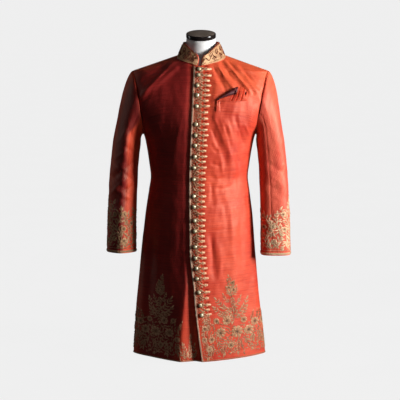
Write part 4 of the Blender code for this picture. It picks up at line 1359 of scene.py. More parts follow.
@dataclass
class Pocket:
    """Chest pocket on the wearer's left, with a puffed square in it."""

    skin: ClothSkin
    left_x: float = 0.0515
    right_x: float = 0.153
    top_z: float = 0.905
    depth_left: float = 0.034
    depth_right: float = 0.04
    gap: float = 0.0008
    welt_wall: float = 0.0018
    welt_creases: tuple[tuple[float, float, float], ...] = (
        (0.035, 0.018, 0.0016), (0.085, 0.016, 0.002), (0.13, 0.014, -0.0008),
    )
    square_wall: float = 0.0012
    square_standoff: float = 0.0022
    roll_middle: float = 0.24
    roll_reach: float = 0.3
    roll_height: float = 0.0062
    pleats: tuple[Pleat, ...] = table(
        Pleat,
        (0.0, 0.02, 0.005, 0.0016),
        (0.06, 0.14, 0.014, 0.0044),
        (0.14, 0.3, 0.024, 0.006),
        (0.24, 0.45, 0.033, 0.007),
        (0.34, 0.56, 0.039, 0.0078),
        (0.42, 0.635, 0.0425, 0.0086),
        (0.445, 0.655, 0.042, 0.003),
        (0.5, 0.69, 0.044, 0.0068),
        (0.58, 0.755, 0.0458, 0.0086),
        (0.605, 0.775, 0.044, 0.0028),
        (0.67, 0.825, 0.0452, 0.007),
        (0.75, 0.885, 0.042, 0.009),
        (0.775, 0.9, 0.0392, 0.003),
        (0.83, 0.95, 0.036, 0.0076),
        (0.91, 1.02, 0.028, 0.0092),
        (0.96, 1.035, 0.018, 0.007),
        (1.0, 1.02, 0.006, 0.002),
    )

    def facing(self) -> Vector:
        """Finds where the chest faces at the pocket.

        Returns:
            The average direction.
        """
        total = Vector()
        for share in np.linspace(0, 1, 7):
            for drop in (-0.04, -0.02, 0.0, 0.03):
                total += self.skin.spot(mix(self.left_x, self.right_x, float(share)), self.top_z + drop)[1]
        return total.normalized()

    def grid_on_chest(self, x: Array, z: Array, rise: Array) -> Array:
        """Puts a grid in front of the chest, along one direction.

        Args:
            x: Places across.
            z: Heights.
            rise: Distances from the chest.

        Returns:
            The points.
        """
        facing = self.facing()
        result = np.empty((*x.shape, 3))
        for place in np.ndindex(*x.shape):
            point, _ = self.skin.spot(float(x[place]), float(z[place]))
            result[place] = point + facing * float(rise[place])
        return result

    def welt(self, finishes: Sequence[Material]) -> None:
        """Sews the welt on: its mouth gapes a little, and its left end is pulled into creases.

        Args:
            finishes: Cloth and lining.
        """
        share, level = np.meshgrid(np.linspace(0, 1, 70), np.linspace(0, 1, 26))
        depth = mix(self.depth_left, self.depth_right, share)
        x = mix(self.left_x, self.right_x, share)
        z = self.top_z - depth * (1 - level)
        rise = self.gap + self.welt_wall + 0.0026 * np.sin(math.pi * share) ** 0.6 * level**3
        for middle, width, height in self.welt_creases:
            slant = share - middle - 0.02 * (1 - level)
            rise += height * np.exp(-((slant / width) ** 2)) * (0.35 + 0.65 * level)
        rise += ripple(x, z, 5, 0.0003, 0.02, 0.06)
        self.sheet("silk_pocket_welt", "pocket_welt", x, z, rise, self.welt_wall, "laid", finishes)

    def square(self, finishes: Sequence[Material]) -> None:
        """Folds the square into pleats that fan to the right, under a dark rolled edge on its left.

        Args:
            finishes: Cloth and lining.
        """
        turn, level = np.meshgrid(np.linspace(0, 1, 170), np.linspace(0, 1, 44))
        knots = [pleat.share for pleat in self.pleats]
        tip_share = np.interp(turn, knots, [pleat.tip for pleat in self.pleats])
        tip_rise = np.interp(turn, knots, [pleat.rise for pleat in self.pleats])
        puff = np.interp(turn, knots, [pleat.puff for pleat in self.pleats])
        foot_share = mix(0.02, 1.0, turn)
        across = mix(foot_share, tip_share, level ** 0.9)
        x = mix(self.left_x, self.right_x, across)
        z = mix(self.top_z - 0.002, self.top_z + tip_rise, level)
        swell = np.sin(math.pi * mix(0.14, 0.9, level)) ** 0.7
        rolled = np.clip(1 - np.abs(turn - self.roll_middle) / self.roll_reach, 0, 1) ** 0.5
        roll = rolled * self.roll_height * np.sqrt(np.clip(1 - ((level - 0.78) / 0.22) ** 2, 0, 1))
        dip = -0.0026 * rolled * np.exp(-(((level - 0.52) / 0.06) ** 2))
        rise = self.square_standoff + self.square_wall + puff * swell + roll + dip
        hole = np.exp(-(((turn - 0.865) / 0.022) ** 2) - ((level - 0.7) / 0.16) ** 2)
        rise = np.maximum(rise - 0.006 * hole, self.square_standoff + self.square_wall)
        made = self.sheet(
            "silk_pocket_square", "pocket_square", x, z, rise, self.square_wall, "folded", finishes
        )
        columns = turn.shape[1]
        shaded = ((rolled > 0.15) & (level > 0.46)) | (hole > 0.5)
        for row, column in zip(*np.nonzero(shaded[:-1, :-1])):
            made.data.polygons[int(row) * (columns - 1) + int(column)].material_index = 1

    def sheet(
        self, name: str, node: str, x: Array, z: Array, rise: Array, wall: float, held: str,
        finishes: Sequence[Material],
    ) -> Piece:
        """Makes one of the pocket's sheets.

        Args:
            name: Piece name.
            node: Node that it replaces.
            x: Places across.
            z: Heights.
            rise: Distances from the chest.
            wall: Thickness.
            held: How it is held.
            finishes: Cloth and lining.

        Returns:
            The object.
        """
        outer = self.grid_on_chest(x, z, rise)
        inside = outer - np.array(self.facing()) * 0.1
        return ClothSheet(name, outer, inside, wall).build([node], finishes, held, "silk_front_left")


@dataclass
class ButtonRow:
    """Domed shank buttons down the upper front. One is modelled, and the others are its copies."""

    form: CoatForm
    skin: ClothSkin
    radius: float = 0.0084
    crown: float = 0.0078
    dome_share: float = 0.8
    rim_share: float = 0.17
    dome_cut: float = 0.1
    seat: float = 0.003
    shank: float = 0.0018
    places: tuple[Flat, ...] = (
        (1.0085, 0.0195), (0.989, 0.018), (0.9549, 0.016), (0.9237, 0.0165), (0.8874, 0.0165),
        (0.8276, 0.0165), (0.7912, 0.0165), (0.7569, 0.0165), (0.7189, 0.017), (0.6811, 0.0165),
        (0.6419, 0.0165), (0.5844, 0.0165), (0.5488, 0.0175), (0.5026, 0.019), (0.4669, 0.0195),
        (0.4133, 0.0195), (0.3743, 0.0195), (0.3389, 0.019), (0.3037, 0.0165), (0.2564, 0.018),
        (0.2113, 0.019), (0.1772, 0.02),
    )

    def model(self, pearl: Material, rim: Material) -> bpy.types.Mesh:
        """Models one button on its shank, with its face towards +Z.

        Args:
            pearl: Material of the dome.
            rim: Material of the rim, the back and the shank.

        Returns:
            The button's mesh.
        """
        low, full = self.radius * self.dome_cut, self.radius * self.dome_share
        select_only()
        bpy.ops.mesh.primitive_uv_sphere_add(segments=40, ring_count=20, radius=full)
        open_mesh()
        bpy.ops.mesh.bisect(plane_co=(0, 0, low), plane_no=(0, 0, 1), clear_inner=True, use_fill=True)
        bpy.ops.mesh.select_all(action="SELECT")
        bpy.ops.transform.translate(value=(0, 0, -low))
        height = (self.crown - self.seat) / (self.radius * (self.dome_share - self.dome_cut))
        bpy.ops.transform.resize(value=(1, 1, height), center_override=(0, 0, 0))
        bpy.ops.transform.translate(value=(0, 0, self.seat))
        dome = close_mesh(pearl)
        bpy.ops.mesh.primitive_torus_add(
            major_segments=44, minor_segments=12,
            major_radius=self.radius * (1 - self.rim_share), minor_radius=self.radius * self.rim_share,
        )
        open_mesh()
        bpy.ops.transform.translate(value=(0, 0, self.seat))
        ring = close_mesh(rim)
        bpy.ops.mesh.primitive_cylinder_add(
            vertices=28, radius=self.radius * 0.8, depth=0.0012, location=(0, 0, 0.0025),
            end_fill_type="NGON",
        )
        bpy.ops.object.mode_set(mode="EDIT")
        bpy.ops.mesh.select_all(action="DESELECT")
        bpy.ops.mesh.select_mode(type="FACE")
        back = close_mesh(rim)
        for face in back.data.polygons:
            face.select = face.normal.z < -0.9
        bpy.ops.object.mode_set(mode="EDIT")
        bpy.ops.mesh.inset(thickness=self.radius * 0.45)
        bpy.ops.mesh.extrude_region_move(TRANSFORM_OT_translate={"value": (0, 0, -self.shank)})
        bpy.ops.object.mode_set(mode="OBJECT")
        select_only(dome, ring, back)
        bpy.ops.object.join()
        bpy.ops.object.transform_apply(location=True, rotation=True, scale=True)
        bpy.ops.object.shade_smooth_by_angle(angle=math.radians(40))
        mesh = dome.data.copy()
        bpy.data.objects.remove(dome, do_unlink=True)
        return mesh

    def build(self, pearl: Material, rim: Material) -> None:
        """Sews the buttons on, each square to the cloth and turned a little differently.

        Args:
            pearl: Material of the domes.
            rim: Material of the rims.
        """
        pattern = self.model(pearl, rim)
        for number, (z, from_edge) in enumerate(self.places, 1):
            point, normal = self.skin.spot(float(self.form.edge_x(z)) + from_edge, z)
            stand = Matrix.Translation(point) @ normal.to_track_quat("Z", "Y").to_matrix().to_4x4()
            mesh = pattern.copy()
            mesh.transform(stand @ Matrix.Rotation(number * 1.9, 4, "Z"))
            declare(link_object(f"pearl_button_{number:02d}", mesh), "button_pearl", f"button_{number:02d}")
        bpy.data.meshes.remove(pattern)


@dataclass
class DressForm:
    """Limbless form under the coat, with its cap, pole and base."""

    centre_x: float = 0.0018
    centre_y: float = 0.002
    neck_top_z: float = 1.1113
    cap_half_width: float = 0.0505
    cap_half_depth: float = 0.05
    cap_height: float = 0.015
    cap_tilt: float = math.radians(13.5)

    def torso(self, cover: Material) -> None:
        """Smooths a copy of the solid torso and stretches the cover over it.

        Args:
            cover: Material of the cover.
        """
        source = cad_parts["form_torso"]
        mesh = source.data.copy()
        mesh.transform(source.matrix_world)
        mesh.materials.clear()
        made = link_object("covered_torso", mesh)
        select_only(made)
        open_mesh()
        bpy.ops.mesh.remove_doubles(threshold=0.00005)
        bpy.ops.mesh.tris_convert_to_quads(
            face_threshold=math.radians(30), shape_threshold=math.radians(60)
        )
        bpy.ops.mesh.dissolve_limited(angle_limit=math.radians(0.2))
        bpy.ops.mesh.select_mode(type="EDGE")
        bpy.ops.mesh.select_all(action="DESELECT")
        bpy.ops.mesh.edges_select_sharp(sharpness=math.radians(55))
        bpy.ops.transform.edge_crease(value=0.9)
        close_mesh(cover)
        rounding = made.modifiers.new("rounding", "SUBSURF")
        rounding.levels = rounding.render_levels = 2
        bpy.ops.object.modifier_apply(modifier="rounding")
        bpy.ops.object.shade_smooth_by_angle(angle=math.radians(50))
        declare(made, "form_cover", "form_torso")

    def cap(self, gloss: Material, top: Material) -> None:
        """Turns the cap that closes the neck, with its dull top let into a glossy rim.

        Args:
            gloss: Material of the rim.
            top: Material of the top.
        """
        select_only()
        bpy.ops.mesh.primitive_cylinder_add(vertices=96, radius=1, depth=self.cap_height)
        open_mesh()
        size = (self.cap_half_width, self.cap_half_depth, 1)
        bpy.ops.transform.resize(value=size, center_override=(0, 0, 0))
        bpy.ops.mesh.select_mode(type="EDGE")
        bpy.ops.mesh.edges_select_sharp(sharpness=math.radians(60))
        bpy.ops.mesh.bevel(offset=0.0032, segments=5, profile=0.5)
        bpy.ops.mesh.select_all(action="SELECT")
        bpy.ops.transform.rotate(value=-self.cap_tilt, orient_axis="X", center_override=(0, 0, 0))
        centre = (self.centre_x, self.centre_y, self.neck_top_z + self.cap_height / 2)
        bpy.ops.transform.translate(value=centre)
        made = close_mesh(gloss, top)
        made.name = made.data.name = "lacquered_neck_cap"
        for face in made.data.polygons:
            face.material_index = int(face.normal.z > 0.9 and len(face.vertices) > 4)
        bpy.ops.object.shade_smooth_by_angle(angle=math.radians(35))
        declare(made, "form_gloss", "form_neck_cap")

    def build(self, cover: Material, gloss: Material, top: Material, steel: Material) -> None:
        """Makes the form's pieces, and paints the pole and the base.

        Args:
            cover: Material of the body.
            gloss: Material of the cap's rim.
            top: Material of the cap's top.
            steel: Material of the pole and the base.
        """
        self.torso(cover)
        self.cap(gloss, top)
        for name in ("form_pole", "form_base"):
            bpy.data.objects[name].data.materials.clear()
            bpy.data.objects[name].data.materials.append(steel)


# ---------------------------------------------------------------- finishes
class Value:
    """A number inside a material. Arithmetic on it makes Math nodes."""

    def __init__(self, shader: "Shader", socket: Any) -> None:
        """Keeps the socket that the value comes from."""
        self.shader = shader
        self.socket = socket

    def __add__(self, other: Any) -> "Value":
        """Sum."""
        return self.shader.math("ADD", self, other)

    def __sub__(self, other: Any) -> "Value":
        """Difference."""
        return self.shader.math("SUBTRACT", self, other)

    def __rsub__(self, other: Any) -> "Value":
        """Difference from a plain number."""
        return self.shader.math("SUBTRACT", other, self)

    def __mul__(self, other: Any) -> "Value":
        """Product."""
        return self.shader.math("MULTIPLY", self, other)

    __radd__, __rmul__ = __add__, __mul__

    def step(self, low: float, high: float) -> "Value":
        """Ramps smoothly from 0 to 1.

        Args:
            low: Value below which it is 0.
            high: Value above which it is 1.

        Returns:
            The ramp.
        """
        inputs = {0: self, 1: low, 2: high}
        node = self.shader.node("ShaderNodeMapRange", {"interpolation_type": "SMOOTHSTEP"}, inputs)
        return Value(self.shader, node.outputs[0])


class Shader:
    """A material's nodes."""

    def __init__(self, name: str) -> None:
        """Starts a material with a principled surface.

        Args:
            name: Its name.
        """
        self.material = bpy.data.materials.new(name)
        self.material.use_nodes = True
        self.nodes = self.material.node_tree.nodes
        self.links = self.material.node_tree.links
        self.surface = next(node for node in self.nodes if node.type == "BSDF_PRINCIPLED")

    def put(self, socket: bpy.types.NodeSocket, value: Any) -> None:
        """Links a value to an input, or sets the input where the value is plain.

        Args:
            socket: The input.
            value: The value.
        """
        source = value.socket if isinstance(value, Value) else value
        if isinstance(source, bpy.types.NodeSocket):
            self.links.new(source, socket)
        else:
            socket.default_value = source

    def node(self, kind: str, settings: dict[str, Any], inputs: dict[Any, Any]) -> bpy.types.Node:
        """Makes a node.

        Args:
            kind: Type of the node.
            settings: Its properties.
            inputs: Values by the name or number of its inputs.

        Returns:
            The node.
        """
        made = self.nodes.new(kind)
        for name, value in settings.items():
            setattr(made, name, value)
        for place, value in inputs.items():
            self.put(made.inputs[place], value)
        return made

    def math(self, operation: str, *values: Any) -> Value:
        """Makes a Math node."""
        made = self.node("ShaderNodeMath", {"operation": operation}, dict(enumerate(values)))
        return Value(self, made.outputs[0])

    def place(self, stretch: Sequence[float], thread: bool = True) -> Value:
        """Coordinates along the cloth's thread, or inside the object.

        Args:
            stretch: What they are multiplied by.
            thread: Whether they run along the thread.

        Returns:
            The coordinates.
        """
        if thread:
            source = self.node("ShaderNodeUVMap", {"uv_map": "thread"}, {}).outputs["UV"]
        else:
            source = self.node("ShaderNodeTexCoord", {}, {}).outputs["Object"]
        scaled = self.node("ShaderNodeVectorMath", {"operation": "MULTIPLY"}, {0: Value(self, source)})
        scaled.inputs[1].default_value = stretch
        return Value(self, scaled.outputs[0])

    def axis(self, name: str) -> Value:
        """One of the object's coordinates, in metres.

        Args:
            name: X, Y or Z.

        Returns:
            The coordinate.
        """
        source = self.node("ShaderNodeTexCoord", {}, {}).outputs["Object"]
        split = self.node("ShaderNodeSeparateXYZ", {}, {0: Value(self, source)})
        return Value(self, split.outputs[name])

    def noise(self, place: Value, scale: float, detail: float = 2.0, rough: float = 0.5) -> Value:
        """Soft noise.

        Args:
            place: Coordinates.
            scale: Cells a unit.
            detail: Finer layers.
            rough: Strength of the finer layers.

        Returns:
            Values from 0 to 1.
        """
        inputs = {"Vector": place, "Scale": scale, "Detail": detail, "Roughness": rough}
        made = self.node("ShaderNodeTexNoise", {}, inputs)
        return Value(self, made.outputs["Fac"])

    def wave(self, place: Value, scale: float, distortion: float = 0.0, axis: str = "X") -> Value:
        """Even bands.

        Args:
            place: Coordinates.
            scale: Bands a unit.
            distortion: How far they waver.
            axis: Axis that they cross.

        Returns:
            Values from 0 to 1.
        """
        made = self.node(
            "ShaderNodeTexWave",
            {"wave_type": "BANDS", "bands_direction": axis},
            {"Vector": place, "Scale": scale, "Distortion": distortion, "Detail": 1.0},
        )
        return Value(self, made.outputs["Fac"])

    def tone(self) -> Value:
        """Lightness of the piece's own thread, from its mesh."""
        made = self.node("ShaderNodeAttribute", {"attribute_name": "tone"}, {})
        return Value(self, made.outputs["Fac"])

    def blend(self, share: Any, low: Any, high: Any) -> Value:
        """Mixes two colours.

        Args:
            share: Share of the second one.
            low: First colour.
            high: Second colour.

        Returns:
            The colour.
        """
        made = self.node("ShaderNodeMix", {"data_type": "RGBA"}, {"Factor": share})
        self.put(made.inputs[6], low)
        self.put(made.inputs[7], high)
        return Value(self, made.outputs[2])

    def bump(self, height: Value, strength: float, distance: float) -> Value:
        """Raises small heights on a surface.

        Args:
            height: The heights.
            strength: Share of them that is used.
            distance: Metres that 1 stands for.

        Returns:
            The normal.
        """
        inputs = {"Strength": strength, "Distance": distance, "Height": height}
        made = self.node("ShaderNodeBump", {}, inputs)
        return Value(self, made.outputs["Normal"])

    def finish(self, values: dict[str, Any]) -> Material:
        """Feeds the surface's inputs.

        Args:
            values: Values by the names of the inputs.

        Returns:
            The material.
        """
        for name, value in values.items():
            self.put(self.surface.inputs[name], value)
        return self.material


Colour = tuple[float, float, float, float]


def tint(red: float, green: float, blue: float) -> Colour:
    """Opaque linear colour."""
    return (red, green, blue, 1.0)


@dataclass(frozen=True)
class SilkFinish:
    """Shot silk with slubs along its weft, with painted shade and a painted highlight tint set by place."""

    name: str = "shot_silk"
    warp: Colour = tint(0.46, 0.018, 0.014)
    weft: Colour = tint(0.78, 0.088, 0.036)
    # painted highlight colour, laid high on the lit side
    orange: Colour = tint(0.8, 0.145, 0.046)
    # painted shade: beyond this parting the silk takes the darker copies of warp and weft below
    parting: float = -0.106
    swings: tuple[tuple[float, float, float], ...] = ((0.015, 0.365, 0.056),)
    blend_reach: float = 0.04
    deep_warp: Colour = tint(0.17, 0.005, 0.009)
    deep_weft: Colour = tint(0.4, 0.021, 0.019)
    slub_stretch: tuple[float, float, float] = (22.0, 1000.0, 1.0)
    band_stretch: tuple[float, float, float] = (10.0, 210.0, 1.0)
    roughness: float = 0.5
    sheen: float = 0.45

    def make(self) -> Material:
        """Weaves the silk, with darker painted-shade colours on the front beyond its parting and a painted
        orange highlight high on the wearer's left.

        Returns:
            The material.
        """
        shader = Shader(self.name)
        slubs = shader.noise(shader.place(self.slub_stretch), 1.0, 3.0, 0.55)
        bands = shader.noise(shader.place(self.band_stretch), 1.0, 2.0, 0.5)
        cloud = shader.noise(shader.place((9.0, 9.0, 1.0)), 1.0, 3.0, 0.5)
        crumple = shader.noise(shader.place((55.0, 85.0, 1.0)), 1.0, 4.0, 0.6)
        streaks = shader.noise(shader.place((120.0, 7.0, 1.0)), 1.0, 3.0, 0.55)
        # painted highlight: an orange tint high on the lit wearer's left
        warm = shader.axis("Z").step(0.86, 1.02) * shader.axis("X").step(0.0, 0.06) * 0.7
        yarn = shader.wave(shader.place((1.0, 1.0, 1.0)), 190.0, 0.4, "Y")
        share = (slubs * 0.44 + bands * 0.34 + cloud * 0.42).step(0.36, 0.84)
        raised = slubs * 0.85 + crumple * 1.0 + bands * 0.45 + yarn * 0.12 + streaks * 0.35
        # painted shade: past the parting, on the front only, the silk turns to its darker copies of warp and
        # weft
        beyond = shader.axis("X") - self.parting
        for low, high, swing in self.swings:
            beyond = beyond - shader.axis("Z").step(low, high) * swing
        front = (0 - shader.axis("Y")).step(0.0, 0.05)
        turned = 1 - (1 - beyond.step(0.0, self.blend_reach)) * front
        near = shader.blend(share, self.warp, self.weft)
        cloth_with_painted_shade = shader.blend(turned, shader.blend(share, self.deep_warp, self.deep_weft), near)
        return shader.finish({
            "Base Color": shader.blend(warm * (0.25 + share * 0.75), cloth_with_painted_shade, self.orange),
            "Roughness": self.roughness - 0.1 + slubs * 0.16,
            "Normal": shader.bump(raised, 0.55, 0.001),
            "Specular IOR Level": 0.6,
            "Sheen Weight": self.sheen,
            "Sheen Roughness": 0.35,
            "Sheen Tint": tint(1.0, 0.42, 0.18),
            "Specular Tint": tint(1.0, 0.72, 0.5),
        })


@dataclass(frozen=True)
class LiningFinish:
    """Fine plain-weave lining."""

    name: str = "lining"
    dark: Colour = tint(0.07, 0.01, 0.013)
    light: Colour = tint(0.17, 0.026, 0.03)

    def make(self) -> Material:
        """Weaves the lining.

        Returns:
            The material.
        """
        shader = Shader(self.name)
        along = shader.wave(shader.place((1, 1, 1)), 260.0)
        weave = along * shader.wave(shader.place((1, 1, 1)), 260.0, 0, "Y")
        wear = shader.noise(shader.place((14.0, 14.0, 1.0)), 1.0, 3.0)
        return shader.finish({
            "Base Color": shader.blend(wear.step(0.3, 0.7), self.dark, self.light),
            "Roughness": 0.42 + wear * 0.2,
            "Normal": shader.bump(weave + wear * 0.6, 0.3, 0.0005),
        })


@dataclass(frozen=True)
class ThreadFinish:
    """Metal or silk thread laid in satin stitches, lighter where its tone is high."""

    name: str = "gold_thread"
    dark: Colour = tint(0.26, 0.095, 0.034)
    light: Colour = tint(0.71, 0.42, 0.24)
    metal: float = 0.35
    roughness: float = 0.4
    gloss: float = 0.5
    pitch: float = 0.0008

    def make(self) -> Material:
        """Twists the thread.

        Returns:
            The material.
        """
        shader = Shader(self.name)
        stripes = shader.wave(shader.place((1, 1, 1)), 1 / (self.pitch * 2 * math.pi) * 2, 0.8)
        worn = shader.noise(shader.place((220.0, 220.0, 1.0)), 1.0, 3.0)
        share = (shader.tone() * 0.86 + worn * 0.34 + stripes * 0.14 - 0.22).step(0.0, 1.0)
        return shader.finish({
            "Base Color": shader.blend(share, self.dark, self.light),
            "Metallic": self.metal,
            "Roughness": self.roughness - 0.08 + worn * 0.24,
            "Normal": shader.bump(stripes + worn * 0.5, 0.5, 0.0004),
            "Specular IOR Level": self.gloss,
        })


@dataclass(frozen=True)
class PearlFinish:
    """Button dome with a milky depth."""

    name: str = "button_pearl_dome"
    deep: Colour = tint(0.46, 0.34, 0.16)
    pale: Colour = tint(0.94, 0.85, 0.6)

    def make(self) -> Material:
        """Makes the pearl.

        Returns:
            The material.
        """
        shader = Shader(self.name)
        swirl = shader.noise(shader.place((1, 1, 1), False), 260.0, 3.0, 0.6)
        return shader.finish({
            "Base Color": shader.blend(swirl.step(0.32, 0.66), self.deep, self.pale),
            "Roughness": 0.12 + swirl * 0.16,
            "Normal": shader.bump(swirl, 0.15, 0.0004),
            "Metallic": 0.25,
            "Coat Weight": 0.8,
            "Coat Roughness": 0.08,
        })


@dataclass(frozen=True)
class MetalFinish:
    """Worn metal or painted metal with fine scratches."""

    name: str
    dark: Colour
    light: Colour
    metal: float
    roughness: float

    def make(self) -> Material:
        """Makes the metal.

        Returns:
            The material.
        """
        shader = Shader(self.name)
        grain = shader.noise(shader.place((1, 1, 0.15), False), 420.0, 4.0, 0.65)
        worn = shader.noise(shader.place((1, 1, 1), False), 38.0, 3.0)
        return shader.finish({
            "Base Color": shader.blend((grain * 0.5 + worn * 0.6).step(0.3, 0.8), self.dark, self.light),
            "Metallic": self.metal,
            "Roughness": self.roughness - 0.1 + grain * 0.25,
            "Normal": shader.bump(grain, 0.25, 0.0003),
        })


@dataclass(frozen=True)
class CoverFinish:
    """Stretched pale jersey of the dress form."""

    name: str = "form_jersey"
    shade: Colour = tint(0.78, 0.77, 0.745)
    pale: Colour = tint(0.9, 0.895, 0.88)

    def make(self) -> Material:
        """Knits the jersey.

        Returns:
            The material.
        """
        shader = Shader(self.name)
        knit = shader.noise(shader.place((1, 1, 0.6), False), 1500.0, 2.0)
        soil = shader.noise(shader.place((1, 1, 1), False), 24.0, 4.0)
        return shader.finish({
            "Base Color": shader.blend(soil.step(0.3, 0.6), self.shade, self.pale),
            "Roughness": 0.55 + knit * 0.3,
            "Normal": shader.bump(knit + soil * 0.4, 0.2, 0.0004),
        })


@dataclass(frozen=True)
class GlossFinish:
    """Dark lacquer."""

    name: str = "cap_lacquer"
    dark: Colour = tint(0.008, 0.006, 0.006)
    warm: Colour = tint(0.03, 0.018, 0.014)

    def make(self) -> Material:
        """Makes the lacquer.

        Returns:
            The material.
        """
        shader = Shader(self.name)
        peel = shader.noise(shader.place((1, 1, 1), False), 160.0, 2.0)
        dust = shader.noise(shader.place((1, 1, 1), False), 900.0, 3.0)
        return shader.finish({
            "Base Color": shader.blend(dust.step(0.4, 0.8), self.dark, self.warm),
            "Roughness": 0.12 + dust * 0.1,
            "Normal": shader.bump(peel, 0.06, 0.0006),
            "Coat Weight": 0.6,
            "Coat Roughness": 0.05,
        })


# ---------------------------------------------------------------- the pen
Put = Callable[[Array], Array]


class Shape(Enum):
    """Outline of a padded stitch: share along, half share across and share of the rise of its stations."""

    LEAF = ((0.2, 0.36, 0.8), (0.48, 0.5, 1.0), (0.78, 0.3, 0.7))
    PETAL = ((0.22, 0.26, 0.7), (0.62, 0.52, 1.0), (0.88, 0.4, 0.7))
    ROD = ((0.08, 0.34, 0.8), (0.5, 0.46, 1.0), (0.92, 0.44, 0.9))


class Pen:
    """Draws padded stitches in the flat: across, up and rise, in metres."""

    sunk = -0.0003
    fill_clear = 0.62
    fill_shift = 0.35
    knot_chance = 0.35
    knot_radius = 0.0011
    leaf_faces = (
        (0, 1, 2), (0, 2, 3), (1, 4, 5, 2), (2, 5, 6, 3), (4, 7, 8, 5), (5, 8, 9, 6), (7, 10, 8),
        (8, 10, 9), (3, 6, 9, 10, 7, 4, 1, 0),
    )

    def __init__(self, seed: int) -> None:
        """Starts with nothing drawn.

        Args:
            seed: Fixes what varies from stitch to stitch.
        """
        self.rng = np.random.default_rng(seed)
        self.points: list[Array] = []
        self.thread: list[Array] = []
        self.tones: list[Array] = []
        self.faces: list[tuple[int, ...]] = []
        self.count = 0
        self.middles: list[Flat] = []

    def vary(self, value: float, share: float) -> float:
        """A value made a little larger or smaller."""
        return value * (1 + self.rng.uniform(-share, share))

    def add(self, points: Array, faces: Iterable[Sequence[int]], thread: Array, tone: float) -> None:
        """Adds some points and faces.

        Args:
            points: Across, up and rise of each point.
            faces: Point numbers, counter-clockwise from outside.
            thread: Place of each point along and across the thread.
            tone: Lightness of the thread.
        """
        self.points.append(points)
        self.thread.append(thread)
        self.tones.append(np.full(len(points), float(np.clip(tone, 0, 1))))
        self.faces.extend(tuple(index + self.count for index in face) for face in faces)
        self.count += len(points)

    def leaf(
        self, x: float, z: float, angle: float, length: float, width: float, tone: float = 0.7,
        bend: float = 0.0, rise: float = 0.0013, shape: Shape = Shape.LEAF,
    ) -> None:
        """Draws a leaf from its foot.

        Args:
            x: Place of its foot across.
            z: Height of its foot.
            angle: Degrees from level, counter-clockwise.
            length: Foot to tip.
            width: Widest part.
            tone: Lightness of its thread.
            bend: Share of the length by which its tip swings to the left.
            rise: Thickness of its padding.
            shape: Outline.
        """
        rows = [(0.0, 0.0, 0.0)]
        for along, half, high in shape.value:
            rows += [(along, -half, -1.0), (along, 0.0, high), (along, half, -1.0)]
        rows.append((1.0, 0.0, 0.0))
        outline = np.array(rows)
        along = outline[:, 0] * length
        side = outline[:, 1] * width + bend * length * outline[:, 0] ** 2
        sine, cosine = math.sin(math.radians(angle)), math.cos(math.radians(angle))
        high = np.where(outline[:, 2] > 0, outline[:, 2] * rise, self.sunk)
        points = stack(x + along * cosine - side * sine, z + along * sine + side * cosine, high)
        start = self.rng.uniform(0, 0.05)
        thread = stack(along + start, outline[:, 1] * width)
        self.add(points, self.leaf_faces, thread, tone + self.rng.uniform(-0.07, 0.07))
        self.middles.append((x + length * cosine * 0.5, z + length * sine * 0.5))

    def stem(
        self, path: Array, width: float, tone: float = 0.6, rise: float = 0.0009, ring: bool = False
    ) -> None:
        """Draws a cord along a path.

        Args:
            path: Places across and up.
            width: Width of the cord.
            tone: Lightness of its thread.
            rise: Thickness.
            ring: Whether the path's end meets its beginning.
        """
        path = np.asarray(path, float)
        way = unit(np.gradient(path, axis=0))
        left = stack(-way[:, 1], way[:, 0])
        lengths = arc_lengths(path)
        taper = np.full(len(path), width / 2)
        if not ring:
            taper[0], taper[-1] = width * 0.22, width * 0.16
        points = np.empty((len(path), 3, 3))
        thread = np.zeros((len(path), 3, 2))
        for place, share in enumerate((-1, 0, 1)):
            points[:, place, :2] = path + left * (share * taper)[:, None]
            points[:, place, 2] = rise if share == 0 else self.sunk
            thread[:, place, 0], thread[:, place, 1] = lengths, share * width / 2
        faces: list[tuple[int, ...]] = []
        for index in range(len(path) - 1):
            low, high = index * 3, index * 3 + 3
            faces += [(low, high, high + 1, low + 1), (low + 1, high + 1, high + 2, low + 2)]
            faces.append((low + 2, high + 2, high, low))
        if not ring:
            last = (len(path) - 1) * 3
            faces += [(0, 1, 2), (last + 2, last + 1, last)]
        self.add(points.reshape(-1, 3), faces, thread.reshape(-1, 2), tone)

    def strip(self, left: Array, right: Array, columns: int, rise: float, tone: float) -> None:
        """Draws a flat band between two lines.

        Args:
            left: One edge's places across and up.
            right: The other edge's.
            columns: Steps between them.
            rise: Thickness.
            tone: Lightness of its thread.
        """
        share = np.linspace(0, 1, columns + 1)[None, :, None]
        flat = mix(np.asarray(left)[:, None], np.asarray(right)[:, None], share)
        rows = len(flat)
        top = np.concatenate([flat, np.full((rows, columns + 1, 1), rise)], axis=-1).reshape(-1, 3)
        under = top.copy()
        under[:, 2] = self.sunk
        first, along = flat[0, 1] - flat[0, 0], flat[1, 0] - flat[0, 0]
        turn = -1 if first[0] * along[1] - first[1] * along[0] < 0 else 1
        faces, rim = grid_faces(rows, columns + 1)[:, ::turn], rim_faces(rows, columns + 1)[:, ::turn]
        every = np.concatenate([faces, faces[:, ::-1] + len(top), rim])
        points = np.concatenate([top, under])
        self.add(points, every.tolist(), points[:, :2].copy(), tone)

    def bead(self, x: float, z: float, radius: float, tone: float = 0.5, rise: float = 0.0016) -> None:
        """Draws a small round knot.

        Args:
            x: Its place across.
            z: Its height.
            radius: Its radius.
            tone: Lightness of its thread.
            rise: Thickness.
        """
        turns = np.radians(np.arange(6) * 60)
        ring = stack(np.cos(turns), np.sin(turns))
        low = stack(x + ring[:, 0] * radius, z + ring[:, 1] * radius, self.sunk)
        high = stack(x + ring[:, 0] * radius * 0.7, z + ring[:, 1] * radius * 0.7, rise * 0.7)
        points = np.concatenate([low, high, [[x, z, rise]]])
        faces: list[tuple[int, ...]] = [tuple(range(5, -1, -1))]
        for index in range(6):
            after = (index + 1) % 6
            faces += [(index, after, after + 6, index + 6), (index + 6, after + 6, 12)]
        self.add(points, faces, points[:, :2].copy(), tone)

